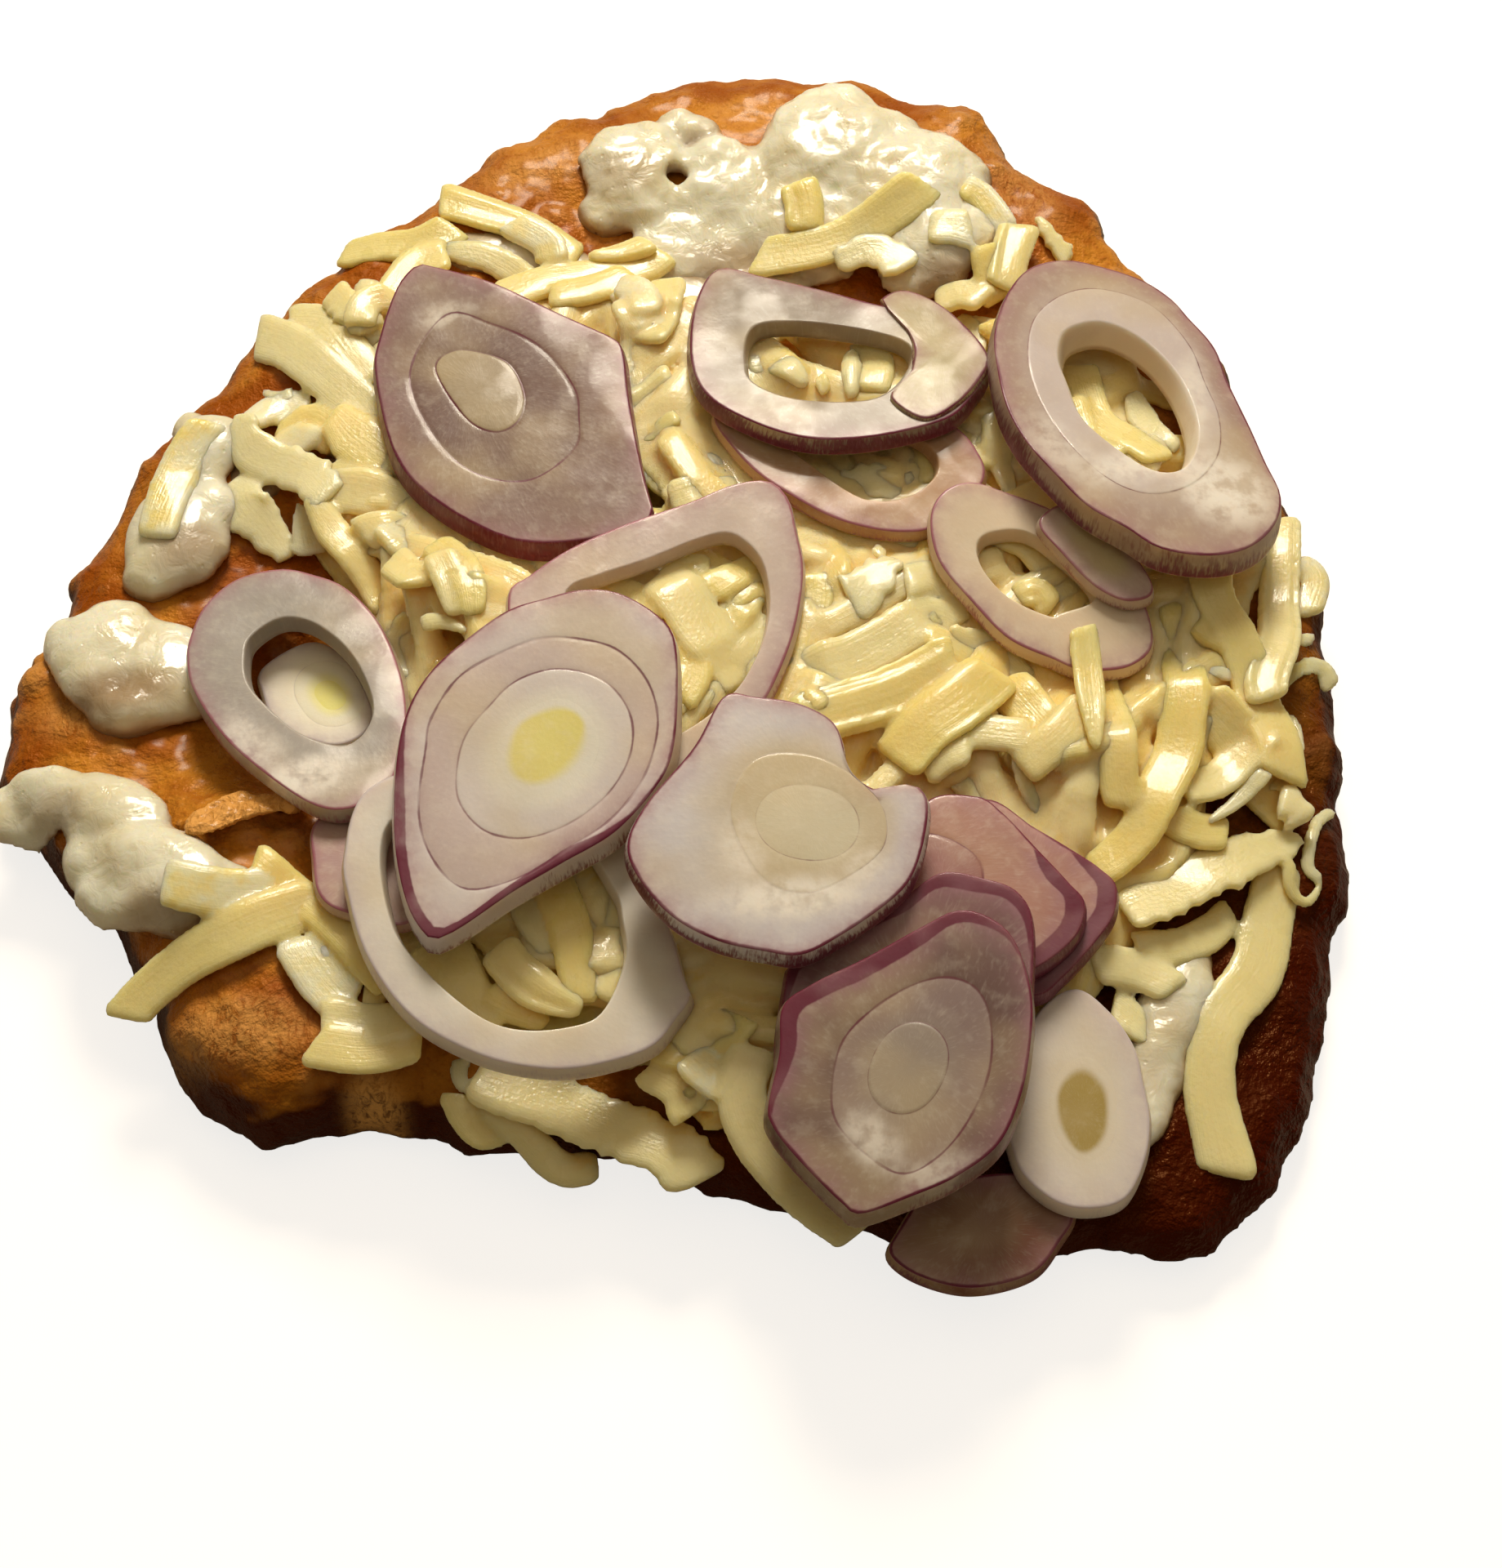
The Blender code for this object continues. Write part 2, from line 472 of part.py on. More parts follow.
SLICE_SIDES = 24
FOOTPRINT_SIDES = 90
FLARE = 0.25
HOLE_FLARE = 0.5
CORE_STEP = 0.45
TILTS = np.linspace(-0.2, 0.2, 33)
TILT_COST = 25.0
FOOTPRINT_EDGE = 1.2
FOOTPRINT_HOLE = 1.0
SLICES = {
    "onion_slice_on_crust": {
        "edge": (
            (31, -102), (30, -105), (34, -108), (41, -109.5), (49, -107.5), (53, -103), (55, -99.5),
            (54.5, -95), (44.5, -94), (35.5, -96.5),
        ),
        "thick": 2.8,
    },
    "onion_disc_lower_right": {
        "edge": (
            (56.5, -68.5), (51.5, -71.5), (47.5, -79.5), (46, -87), (46.5, -91.5), (48, -95.5), (52, -99),
            (56.5, -100), (61.5, -98.5), (64.5, -93), (65.5, -87.5), (65, -82.5), (64, -77), (61, -72),
        ),
        "thick": 3.0,
        "core": (55.9, -85.8, 3.6, 0.2, 80),
    },
    "onion_slice_pink_lower": {
        "edge": (
            (45, -40.5), (51.5, -45), (58, -49.5), (60.5, -51.5), (62.5, -54), (62, -58.5), (59, -63),
            (54.5, -68), (50.5, -71), (43, -70), (37.5, -56.5), (38, -45),
        ),
        "thick": 3.0,
    },
    "onion_slice_pink_upper": {
        "edge": (
            (36, -43), (43, -42), (46.5, -44.5), (51.5, -50.5), (55.5, -55.5), (57.5, -58.5), (56, -63.5),
            (50, -68.5), (42.5, -70.5), (36, -65.5), (33, -53.5),
        ),
        "thick": 3.2,
    },
    "onion_slice_front_under": {
        "edge": (
            (16, -71), (18, -68), (26, -62.5), (32.5, -59.5), (37.5, -56.5), (43, -57.5), (47.5, -59.5),
            (49.5, -64), (49, -74), (48, -82), (39.5, -92), (26.5, -93.5), (15.5, -85.5),
        ),
        "thick": 3.2,
    },
    "onion_disc_front": {
        "edge": (
            (15.5, -76.5), (15, -83), (13.5, -90), (14, -92.5), (16, -95.5), (19.5, -99.5), (23, -103),
            (25.5, -104.5), (32, -102.5), (38, -100), (43.5, -96), (46.5, -90), (48, -83.5), (48.5, -76),
            (46.5, -68.5), (43, -65), (39, -64), (34.5, -66), (26, -70.5), (19.5, -73.5),
        ),
        "thick": 4.0,
        "core": (32.2, -85.2, 11, 0.17, 62),
    },
    "onion_ring_top_under": {
        "edge": (
            (5.5, 25.5), (7.5, 21), (12.5, 14.5), (19.5, 9), (26, 5.5), (33.5, 4), (39.5, 5.5), (46.5, 13.5),
            (45.5, 20), (41, 25), (33, 27), (22, 27), (12, 28.5), (7, 28.5),
        ),
        "hole": (
            (14.5, 22.5), (18.5, 18), (26.5, 11), (31, 9.5), (36, 11), (39.5, 15), (39, 19), (35, 22),
            (26, 22), (18, 23),
        ),
        "thick": 2.4,
    },
    "onion_ring_top": {
        "edge": (
            (6, 54), (13.5, 52), (22, 49.5), (30, 46.5), (36.5, 45), (41.5, 44.5), (46, 39), (48, 33.5),
            (45.5, 27.5), (41, 22), (31, 18.5), (21, 17.5), (12.5, 20.5), (5, 26), (2, 34), (2.5, 46),
        ),
        "hole": (
            (10.5, 32.5), (13, 28), (20, 25.5), (30, 26), (35, 31.5), (35.5, 37.5), (26.5, 41), (12.5, 41.5),
        ),
        "thick": 3.4,
    },
    "onion_disc_upper_left": {
        "edge": (
            (-42, 54), (-39.5, 54), (-29, 50), (-19, 44), (-10.5, 39), (-8.5, 36), (-7.5, 28), (-6, 18.5),
            (-4.5, 11), (-3.5, 5.5), (-8, 2.5), (-19.5, 1), (-27, 3), (-36.5, 9.5), (-43, 18), (-47, 33.5),
            (-46.5, 41.5), (-44.5, 50),
        ),
        "thick": 4.2,
        "core": (-27.8, 27.9, 13.2, 0.21, 123),
    },
    "onion_ring_right": {
        "edge": (
            (38, 4.5), (40, 9), (44, 11), (48.5, 10), (58, 6), (67, -2), (70.5, -13.5), (67, -18.5),
            (60, -19.5), (55.5, -18), (49, -15), (43.5, -9), (39, -2.5),
        ),
        "hole": (
            (45, 0.5), (47.5, 2.5), (53, 2.5), (60, -3.5), (62, -8), (57, -10.5), (55, -11), (49, -8),
            (45.5, -3.5),
        ),
        "thick": 2.6,
    },
    "onion_disc_right": {
        "edge": ((54, 3), (58, 6.5), (63.5, 4.5), (70.5, -6.5), (67, -9.5), (62, -7.5), (57, -2)),
        "thick": 2.2,
    },
    "onion_ring_upper_right": {
        "edge": (
            (61, 54), (67, 53.5), (73, 51.5), (77.5, 48), (80, 44), (83.5, 38), (85, 30.5), (87.5, 21),
            (89, 14.5), (90.5, 8.5), (89.5, 3.5), (86.5, -1), (82.5, -4), (77, -5.5), (70.5, -5), (66, -2),
            (60.5, 1.5), (56, 7), (52, 13), (49.5, 19.5), (48.5, 27.5), (48.5, 35.5), (51, 44.5), (55, 51),
        ),
        "hole": (
            (59, 31.5), (60.5, 37), (66, 39.5), (72, 36.5), (76.5, 29), (78, 20), (76, 13), (72, 11),
            (67.5, 13.5), (62, 19.5), (60, 26.5),
        ),
        "thick": 5.2,
    },
    "onion_slice_lower_left": {
        "edge": (
            (-51, -43.5), (-50.5, -50), (-49, -56), (-45, -59), (-36, -61), (-32, -51.5), (-36.5, -40),
            (-46, -39.5),
        ),
        "thick": 2.2,
    },
    "onion_disc_left": {
        "edge": (
            (-55.5, -9.5), (-62, -14), (-61.5, -18.5), (-58.5, -24.5), (-51, -28), (-46.5, -27),
            (-44.5, -23.5), (-46.5, -17.5), (-50.5, -11.5),
        ),
        "thick": 2.4,
        "core": (-52.2, -20.9, 3.4, 0.1, 130),
    },
    "onion_ring_left": {
        "edge": (
            (-59.5, 0), (-66, -2), (-70, -7), (-71.5, -13), (-71.5, -17), (-70, -22.5), (-65, -30.5),
            (-58.5, -37), (-51, -42.5), (-46, -43.5), (-41.5, -41), (-39, -36), (-38.5, -28), (-40, -19.5),
            (-44, -10), (-49.5, -3.5), (-54.5, -1),
        ),
        "hole": (
            (-63, -17), (-62.5, -13), (-58.5, -9.5), (-53.5, -10.5), (-48, -15.5), (-44.5, -22), (-43.5, -27),
            (-45, -31), (-48, -32.5), (-53.5, -30.5), (-59, -25.5), (-62, -21.5),
        ),
        "thick": 3.4,
    },
    "onion_ring_lower_left": {
        "edge": (
            (-45, -52.5), (-44, -59), (-41.5, -66.5), (-37.5, -73), (-33, -77.5), (-27.5, -80.5),
            (-21.5, -82.5), (-14.5, -83), (-7.5, -81.5), (-2, -79), (1, -75), (3, -71.5), (2, -68.5),
            (0, -61.5), (-6, -47.5), (-14, -39.5), (-30.5, -37.5), (-42.5, -42),
        ),
        "hole": (
            (-40, -52.5), (-37.5, -63.5), (-32.5, -70), (-26, -75.5), (-20.5, -77.5), (-14, -77), (-9, -74.5),
            (-6, -66.5), (-6.5, -60.5), (-8, -55.5), (-15, -46), (-28, -42.5), (-38, -46),
        ),
        "thick": 3.2,
    },
    "onion_ring_middle": {
        "edge": (
            (3, 6.5), (7.5, 9), (12, 10.5), (15, 10), (17, 7), (18, 2), (19, -4), (18.5, -10.5), (17, -17.5),
            (14, -25.5), (11.5, -29), (4.5, -38), (-2.5, -42.5), (-14, -39.5), (-21.5, -25), (-24, -11.5),
            (-21, -7.5), (-15, -2.5), (-8, 1.5),
        ),
        "hole": (
            (3, -0.5), (7.5, 1), (10.5, -0.5), (13, -4), (14, -9.5), (13.5, -15), (12, -20), (9, -25.5),
            (3, -31.5), (-5, -35.5), (-12, -31.5), (-16, -18), (-15.5, -10), (-10.5, -7), (-3.5, -4),
        ),
        "thick": 2.6,
    },
    "onion_disc_middle": {
        "edge": (
            (-18.5, -14.5), (-13, -13), (-7.5, -13.5), (-2, -17), (0.5, -21), (1, -29.5), (0.5, -38),
            (-1.5, -43.5), (-7.5, -51), (-15, -56), (-21, -60), (-27.5, -65), (-31, -67), (-33, -66),
            (-35.5, -61.5), (-37.5, -53), (-38, -42), (-37, -33), (-34, -26.5), (-29, -21), (-23.5, -16.5),
        ),
        "thick": 4.2,
        "core": (-18.4, -38.9, 14, 0.18, 57),
    },
    "onion_disc_centre": {
        "edge": (
            (-5.5, -54.5), (-4, -59.5), (0.5, -65), (6.5, -68.5), (13, -70), (18, -70.5), (23.5, -67.5),
            (29.5, -63), (33, -59), (35, -53), (35.5, -47), (33, -44.5), (30, -46), (27, -45), (24.5, -42),
            (24, -38.5), (22.5, -35), (18, -32.5), (12, -31.5), (7.5, -31.5), (3.5, -39.5), (-3, -48.5),
        ),
        "thick": 3.2,
        "core": (18.4, -51.2, 9.2, 0.0, 0),
    },
}


def smooth_loop(points, fineness=12):
    """Close points of a smooth closed curve through the given ones."""
    p = np.array(points, float)
    share = np.linspace(0, 1, fineness, endpoint=False)[:, None]
    around_each = zip(np.roll(p, 1, 0), p, np.roll(p, -1, 0), np.roll(p, -2, 0))
    return np.concatenate([between(*four, share) for four in around_each])


def is_oval(shape):
    return not isinstance(shape[0], tuple)


def middle_of(shape):
    """The point that an outline's radii are measured from."""
    if is_oval(shape):
        return shape[:2]
    points = np.array(shape, float)
    return tuple((points.min(axis=0) + points.max(axis=0)) / 2)


def outline_radii(shape, count):
    """Radii of an outline about its middle, evenly spaced over a full turn."""
    angle = np.arange(count) * 2 * math.pi / count
    if is_oval(shape):
        size, share, degrees = shape[2:]
        return size * (1 + share * np.cos(2 * (angle - math.radians(degrees))))
    curve = smooth_loop(shape) - middle_of(shape)
    turn = np.arctan2(curve[:, 1], curve[:, 0]) % (2 * math.pi)
    order = np.argsort(turn)
    return np.interp(angle, turn[order], np.hypot(*curve.T)[order], period=2 * math.pi)


def within(shape, x, y, grow):
    """Which points lie inside an outline made larger, or smaller, by so many mm."""
    cx, cy = middle_of(shape)
    radii = outline_radii(shape, FOOTPRINT_SIDES)
    return np.hypot(x - cx, y - cy) <= around(radii, np.arctan2(y - cy, x - cx)) + grow


def footprint(row):
    """Grid points under a slice, leaving out its hole."""
    cx, cy = middle_of(row["edge"])
    reach = math.ceil(outline_radii(row["edge"], FOOTPRINT_SIDES).max() + FOOTPRINT_EDGE) + 1
    xs = np.arange(math.floor(cx) - reach, math.ceil(cx) + reach + 1, 1.0)
    ys = np.arange(math.floor(cy) - reach, math.ceil(cy) + reach + 1, 1.0)
    x, y = (v.ravel() for v in np.meshgrid(xs, ys))
    inside = within(row["edge"], x, y, FOOTPRINT_EDGE)
    if "hole" in row:
        inside &= ~within(row["hole"], x, y, -FOOTPRINT_HOLE)
    return x[inside], y[inside]


def settle(centre, x, y, ground):
    """The lowest plane that clears the ground: height at the centre, and its slopes along X and Y."""
    height = read(ground, x, y) + GAP
    u, v = x - centre[0], y - centre[1]
    best = None
    for a in TILTS:
        for b in TILTS:
            z = float((height - a * u - b * v).max())
            cost = z + TILT_COST * (a * a + b * b)
            if best is None or cost < best[0]:
                best = (cost, z, float(a), float(b))
    return best[1:]


def loop(shape, height, grow=0.0, shift=0.0):
    """Points of an outline, grown by so many mm, on a slanted plane."""
    cx, cy = middle_of(shape)
    ring = []
    for k, radius in enumerate(outline_radii(shape, SLICE_SIDES)):
        a = 2 * math.pi * k / SLICE_SIDES
        x, y = cx + (radius + grow) * math.cos(a), cy + (radius + grow) * math.sin(a)
        ring.append((x, y, height(x, y) + shift))
    return ring


def ring_mesh(loops):
    """Closed skin through equal loops that return to the first, as round a tube."""
    n, m = len(loops[0]), len(loops)
    points = [p for ring in loops for p in ring]
    faces = []
    for level in range(m):
        a, b = level * n, (level + 1) % m * n
        faces += [(a + k, a + (k + 1) % n, b + (k + 1) % n, b + k) for k in range(n)]
    return points, faces


def make_slice(name, row, ground, material):
    """A flat slice that has settled onto what lies below it."""
    edge, thick = row["edge"], row["thick"]
    centre = middle_of(edge)
    z, a, b = settle(centre, *footprint(row), spread(ground))

    def height(px, py):
        return z + a * (px - centre[0]) + b * (py - centre[1])

    rings = [loop(edge, height, FLARE * thick), loop(edge, height, 0.0, thick)]
    if "hole" in row:
        rings += [loop(row["hole"], height, 0.0, thick), loop(row["hole"], height, -HOLE_FLARE)]
        return make_object(name, *ring_mesh(rings), material)
    middle, top = centre, thick
    if "core" in row:
        core = row["core"]
        middle, top = core[:2], thick + CORE_STEP
        rings += [loop(core, height, 0.0, thick), loop(core, height, -HOLE_FLARE, top)]
    points, faces = stack(rings, (*centre, height(*centre)), (*middle, height(*middle) + top))
    return make_object(name, points, faces, material)


# Shreds: points of each path, then its width

SHRED_THICK = 2.4
SINK = 0.6
ROOT = 1.5
STEP = 6.5
FINE = 1.5
STEEPEST = 0.42
SHORTEST = 7.0
END_WIDTH = 0.68
END_THICK = 0.8
TOP_WIDTH = 0.78
SHREDS = (
    ((16, -24), (28, -19), (41, -11), 6.5),
    ((20, -28), (30, -23), (42, -17), 7),
    ((29, -37), (38, -30), (48, -23), 7),
    ((41, -15), (50, -16), (58, -21), 6),
    ((22, -2), (35, -1), 6),
    ((-3, -6), (3, -14), (10, -26), 6.5),
    ((4, -7), (11, -2), 5),
    ((62, -18), (63, -27), (66, -43), 5.5),
    ((74, -10), (75, -29), (70, -43), (60, -49), 6),
    ((79, -4), (83, -12), (89, -21), 5.5),
    ((92, 10), (93, -3), (87, -18), 5),
    ((63, -56), (76, -51), (92, -42), 7),
    ((66, -61), (81, -51), 5),
    ((89, -44), (83, -59), (80, -77), (76, -92), 6),
    ((49, -36), (61, -27), 6),
    ((76, -42), (88, -33), 3.5),
    ((89, -20), (90, -40), 4),
    ((21, -6), (23, -17), 5),
    ((86, -6), (98, -4), 2.4),
    ((87, -12), (95, -12), (100, -16), 2.4),
    ((93, 16), (97, 10), (98, 0), 4.5),
    ((-80, -66), (-66, -64), (-54, -62), (-45, -67), 6.5),
    ((-59, -51), (-52, -56), (-44, -65), 4.5),
    ((-49, -77), (-41, -77), (-32, -74), 6),
    ((-50, -59), (-47, -70), (-41, -79), 7),
    ((-32, -76), (-28, -85), (-24, -92), 5),
    ((-26, -81), (-18, -87), (-9, -90), 4),
    ((-20, -82), (-7, -85), (5, -93), 8),
    ((4, -82), (16, -93), (27, -100), 6),
    ((7, -72), (10, -84), 6),
    ((-2, -76), (5, -71), (11, -69), 8),
    ((-24, -59), (-19, -66), (-13, -73), 6),
    ((-9, -54), (-10, -63), (-10, -71), 5),
    ((-33, -61), (-29, -68), (-25, -74), 5),
    ((-15, -52), (-9, -60), 4),
    ((-68, 48), (-58, 33), (-45, 21), 6.5),
    ((-62, 53), (-54, 39), (-48, 29), 6),
    ((-52, 66), (-39, 66), (-26, 69), 6),
    ((-26, 62), (-15, 61), (-3, 65), 5.5),
    ((-56, 58), (-50, 45), 4),
    ((-65, 35), (-53, 26), 5),
    ((-69, 32), (-64, 23), (-54, 11), 6),
    ((-57, 19), (-44, 14), (-31, 6), 5),
    ((-52, 42), (-48, 56), (-41, 65), 5),
    ((-63, 17), (-56, 6), 6),
    ((6, 52), (15, 61), (29, 66), (41, 72), 5),
    ((30, 50), (27, 57), (38, 58), 5),
    ((55, 72), (51, 56), (50, 46), 4.5),
    ((60, 70), (61, 57), (57, 49), 3),
    ((45, 46), (54, 44), 3.5),
    ((50, 31), (50, 14), 4),
    ((-7, 54), (-1, 37), 5),
    ((2, 30), (6, 15), 6),
    ((-7, 30), (4, 34), 5),
    ((-30, -10), (-39, -19), 6),
    ((-36, -2), (-29, -13), 5),
    ((-48, 9), (-44, -5), 3.5),
    ((-28, 1), (-22, -11), 5),
    ((16, 29), (11, 40), 5),
    ((27, 38), (27, 26), 5),
    ((24, 20), (36, 18), 5),
    ((48, 1), (54, -8), 5),
    ((62, 35), (66, 22), 5),
    ((69, 30), (72, 17), 5),
    ((50, -31), (55, -45), 5),
    ((1, -26), (7, -37), 5),
    ((74, -32), (58, -38), 5),
    ((-16, -46), (-5, -43), 5),
    ((72, 52), (80, 38), 5),
    ((32, -2), (43, -9), 5),
    ((-42, 60), (-30, 52), 5),
    ((-20, 58), (-12, 52), (-8, 46), 5),
    ((36, -22), (46, -28), 6),
    ((54, -22), (60, -32), 5.5),
    ((68, -18), (78, -26), 6),
    ((76, -14), (80, -30), 5.5),
    ((84, -24), (80, -38), 5),
    ((64, -46), (74, -40), 5.5),
    ((26, -12), (36, -16), 5.5),
    ((30, -8), (40, -4), 5),
    ((-14, 12), (-10, 0), 5.5),
    ((14, 8), (20, 2), 5),
)


def smooth_path(points, step):
    """Evenly spaced points of a smooth curve through the given ones."""
    p = np.array([2 * np.array(points[0]) - points[1], *points, 2 * np.array(points[-1]) - points[-2]], float)
    share = np.linspace(0, 1, 12, endpoint=False)[:, None]
    fine = np.concatenate([between(*p[k : k + 4], share) for k in range(len(p) - 3)] + [p[-2:-1]])
    along = np.r_[0, np.cumsum(np.hypot(*np.diff(fine, axis=0).T))]
    at = np.linspace(0, along[-1], max(2, round(along[-1] / step) + 1))
    return np.stack([np.interp(at, along, fine[:, 0]), np.interp(at, along, fine[:, 1])], axis=1)


def longest_run(good):
    """First and last index of the longest unbroken stretch of true values."""
    best, start = (0, -1), None
    for k, value in enumerate([*good, False]):
        if value and start is None:
            start = k
        if not value and start is not None:
            if k - 1 - start > best[1] - best[0]:
                best = (start, k - 1)
            start = None
    return best


def heights_under(path, heading, side, width, hard, soft, ceiling):
    """Along a path: the lowest clear height, the height of the heap to rest in, and what lies overhead."""
    floor, rest, roof = [], [], []
    for at, along, across in zip(path, heading, side):
        wide = np.linspace(-0.5, 0.5, 5) * (width + 0.8)
        spots = np.array([at + u * along + v * across for u in (-1, 0, 1) for v in wide])
        floor.append(float(read(hard, *spots.T).max()) + GAP)
        rest.append(float(np.mean(read(soft, *spots.T))) - SINK)
        roof.append(float(read(ceiling, *spots.T).min()))
    return np.array(floor), np.array(rest), np.array(roof)


def limit_slope(low):
    """Raises low points until the way from one to the next is gentle."""
    for _ in range(len(low)):
        low[1:] = np.maximum(low[1:], low[:-1] - STEEPEST * FINE)
        low[:-1] = np.maximum(low[:-1], low[1:] - STEEPEST * FINE)
    return low


def lift_stations(low, pick):
    """Heights of the few picked stations such that straight lines between them clear the path."""
    height = low[pick]
    whole = np.arange(pick[0], pick[-1] + 1)
    for _ in range(30):
        short = low[whole] - np.interp(whole, pick, height)
        if short.max() < 0.05:
            break
        height[np.abs(pick - whole[short.argmax()]).argmin()] += short.max()
    return height


def make_shred(index, points, width, hard, soft, ceiling):
    """One bar laid over the relief, as long as there is room for it, or nothing where there is too little."""
    path = smooth_path(points, FINE)
    heading = np.gradient(path, axis=0)
    heading /= np.hypot(*heading.T)[:, None]
    side = np.stack([-heading[:, 1], heading[:, 0]], axis=1)
    floor, rest, roof = heights_under(path, heading, side, width, hard, soft, ceiling)
    low = limit_slope(np.maximum(floor, rest))
    first, last = longest_run(low + SHRED_THICK + 2 * GAP < roof)
    if (last - first) * FINE < SHORTEST:
        return None
    stations = max(3, round((last - first) * FINE / STEP) + 1)
    pick = np.unique(np.rint(np.linspace(first, last, stations)).astype(int))
    height = lift_stations(low, pick)
    whole = np.arange(first, last + 1)
    buried = (np.interp(whole, pick, height) - rest[whole] < SINK / 2) & (rest[whole] > floor[whole])
    if buried.sum() < 3:
        return None
    rings = []
    for k, z in zip(pick, height):
        end = k in (pick[0], pick[-1])
        half = 0.5 * width * (END_WIDTH if end else 1.0)
        thick = SHRED_THICK * (END_THICK if end else 1.0)
        root = -min(ROOT, max(0.0, z - floor[k])) if rest[k] > floor[k] + ROOT else 0.0
        corners = ((-half, root), (half, root), (TOP_WIDTH * half, thick), (-TOP_WIDTH * half, thick))
        rings.append([(*(path[k] + side[k] * across), z + up) for across, up in corners])
    return make_object(f"shred_{index}", *closed_bar(rings))


def to_base_centre(objects):
    """Moves everything so that the origin is the middle of the whole on the table."""
    points = np.concatenate([np.array([v.co for v in obj.data.vertices]) for obj in objects])
    low, high = points.min(axis=0), points.max(axis=0)
    shift = Vector((-(low[0] + high[0]) / 2, -(low[1] + high[1]) / 2, -low[2]))
    for obj in objects:
        obj.data.transform(Matrix.Translation(shift))


def make_slices(laid, ceiling, material):
    """Lays every onion slice, raising the relief and lowering the ceiling over the cheese."""
    slices = []
    for name, row in SLICES.items():
        piece = make_slice(name, row, laid, material)
        add_to_relief(laid, *mesh_data(piece))
        add_to_relief(ceiling, *mesh_data(piece), underside=True)
        slices.append(piece)
    return slices


def add_shreds(heap, hard, soft, ceiling):
    """Fuses the shreds that show onto the dome."""
    hard, ceiling = spread(hard), spread(ceiling, np.minimum)
    shreds = []
    for index, (*points, width) in enumerate(SHREDS):
        shred = make_shred(index, points, width, hard, soft, ceiling)
        if shred is not None:
            add_to_relief(soft, *mesh_data(shred))
            shreds.append(shred)
    return join(heap, shreds, "cheese_heap")


def main():
    for obj in list(bpy.data.objects):
        bpy.data.objects.remove(obj)
    bread_look = make_material("bread", (0.50, 0.22, 0.07), 0.5)
    cream_look = make_material("cream", (0.90, 0.86, 0.74), 0.25)
    cheese_look = make_material("cheese", (0.86, 0.70, 0.33), 0.4)
    onion_look = make_material("onion", (0.72, 0.58, 0.55), 0.3)
    hard = new_relief()
    bread = make_bread(bread_look)
    add_to_relief(hard, *mesh_data(bread))
    creams = [make_cream(name, rows, hard.copy(), cream_look) for name, rows in CREAM.items()]
    for cream in creams:
        add_to_relief(hard, *mesh_data(cream))
    heap = make_core(hard, cheese_look)
    soft = hard.copy()
    add_to_relief(soft, *mesh_data(heap))
    ceiling = np.full_like(hard, OPEN_SKY)
    slices = make_slices(soft.copy(), ceiling, onion_look)
    heap = add_shreds(heap, hard, soft, ceiling)
    to_base_centre([bread, *creams, heap, *slices])


if __name__ == "__main__":
    main()
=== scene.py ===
"""Looks for a langos: fried bread, sour cream, a heap of grated cheese and slices of red onion."""

import json
import math

import bpy
import numpy as np
from bpy.props import FloatProperty, FloatVectorProperty, IntProperty, PointerProperty
from mathutils import Matrix, Vector
from mathutils.bvhtree import BVHTree
from mathutils.interpolate import poly_3d_calc

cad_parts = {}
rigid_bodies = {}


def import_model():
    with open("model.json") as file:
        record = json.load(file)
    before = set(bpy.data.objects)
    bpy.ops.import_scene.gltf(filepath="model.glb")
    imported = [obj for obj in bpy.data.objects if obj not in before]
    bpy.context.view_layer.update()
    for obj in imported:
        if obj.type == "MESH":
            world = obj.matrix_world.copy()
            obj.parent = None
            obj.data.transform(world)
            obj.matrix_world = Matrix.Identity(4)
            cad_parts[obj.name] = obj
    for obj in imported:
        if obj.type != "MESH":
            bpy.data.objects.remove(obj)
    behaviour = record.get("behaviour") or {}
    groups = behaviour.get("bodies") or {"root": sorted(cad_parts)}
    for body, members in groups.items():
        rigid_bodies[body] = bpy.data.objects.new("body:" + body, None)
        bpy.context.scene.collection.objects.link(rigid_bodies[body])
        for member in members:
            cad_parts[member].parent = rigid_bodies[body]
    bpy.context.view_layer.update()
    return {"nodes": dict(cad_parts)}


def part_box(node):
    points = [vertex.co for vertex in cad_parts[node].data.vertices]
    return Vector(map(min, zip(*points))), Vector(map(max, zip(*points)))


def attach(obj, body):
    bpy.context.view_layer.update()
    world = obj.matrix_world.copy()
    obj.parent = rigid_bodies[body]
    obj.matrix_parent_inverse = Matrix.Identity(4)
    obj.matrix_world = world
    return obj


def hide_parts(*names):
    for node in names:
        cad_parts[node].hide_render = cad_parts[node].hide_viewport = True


bl_info = {
    "name": "Langos Looks",
    "version": (1, 0, 0),
    "blender": (4, 5, 0),
    "location": "3D View > Sidebar > Langos",
    "description": "Dresses the solid parts of a langos with crust, cream, cheese and onion",
    "category": "Object",
}

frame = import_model()

MM = 0.001

# The tables below give x and y in mm before the whole was centred on its base. CENTRING moves them there.
CENTRING = np.array([0.21, 0.803])


# Small tools


def deselect():
    """Leaves nothing selected or active."""
    for obj in bpy.context.view_layer.objects:
        obj.select_set(False)
    bpy.context.view_layer.objects.active = None


def activate(obj):
    """Selects this object alone."""
    deselect()
    obj.select_set(True)
    bpy.context.view_layer.objects.active = obj


def apply_modifiers(obj):
    activate(obj)
    for modifier in list(obj.modifiers):
        bpy.ops.object.modifier_apply(modifier=modifier.name)


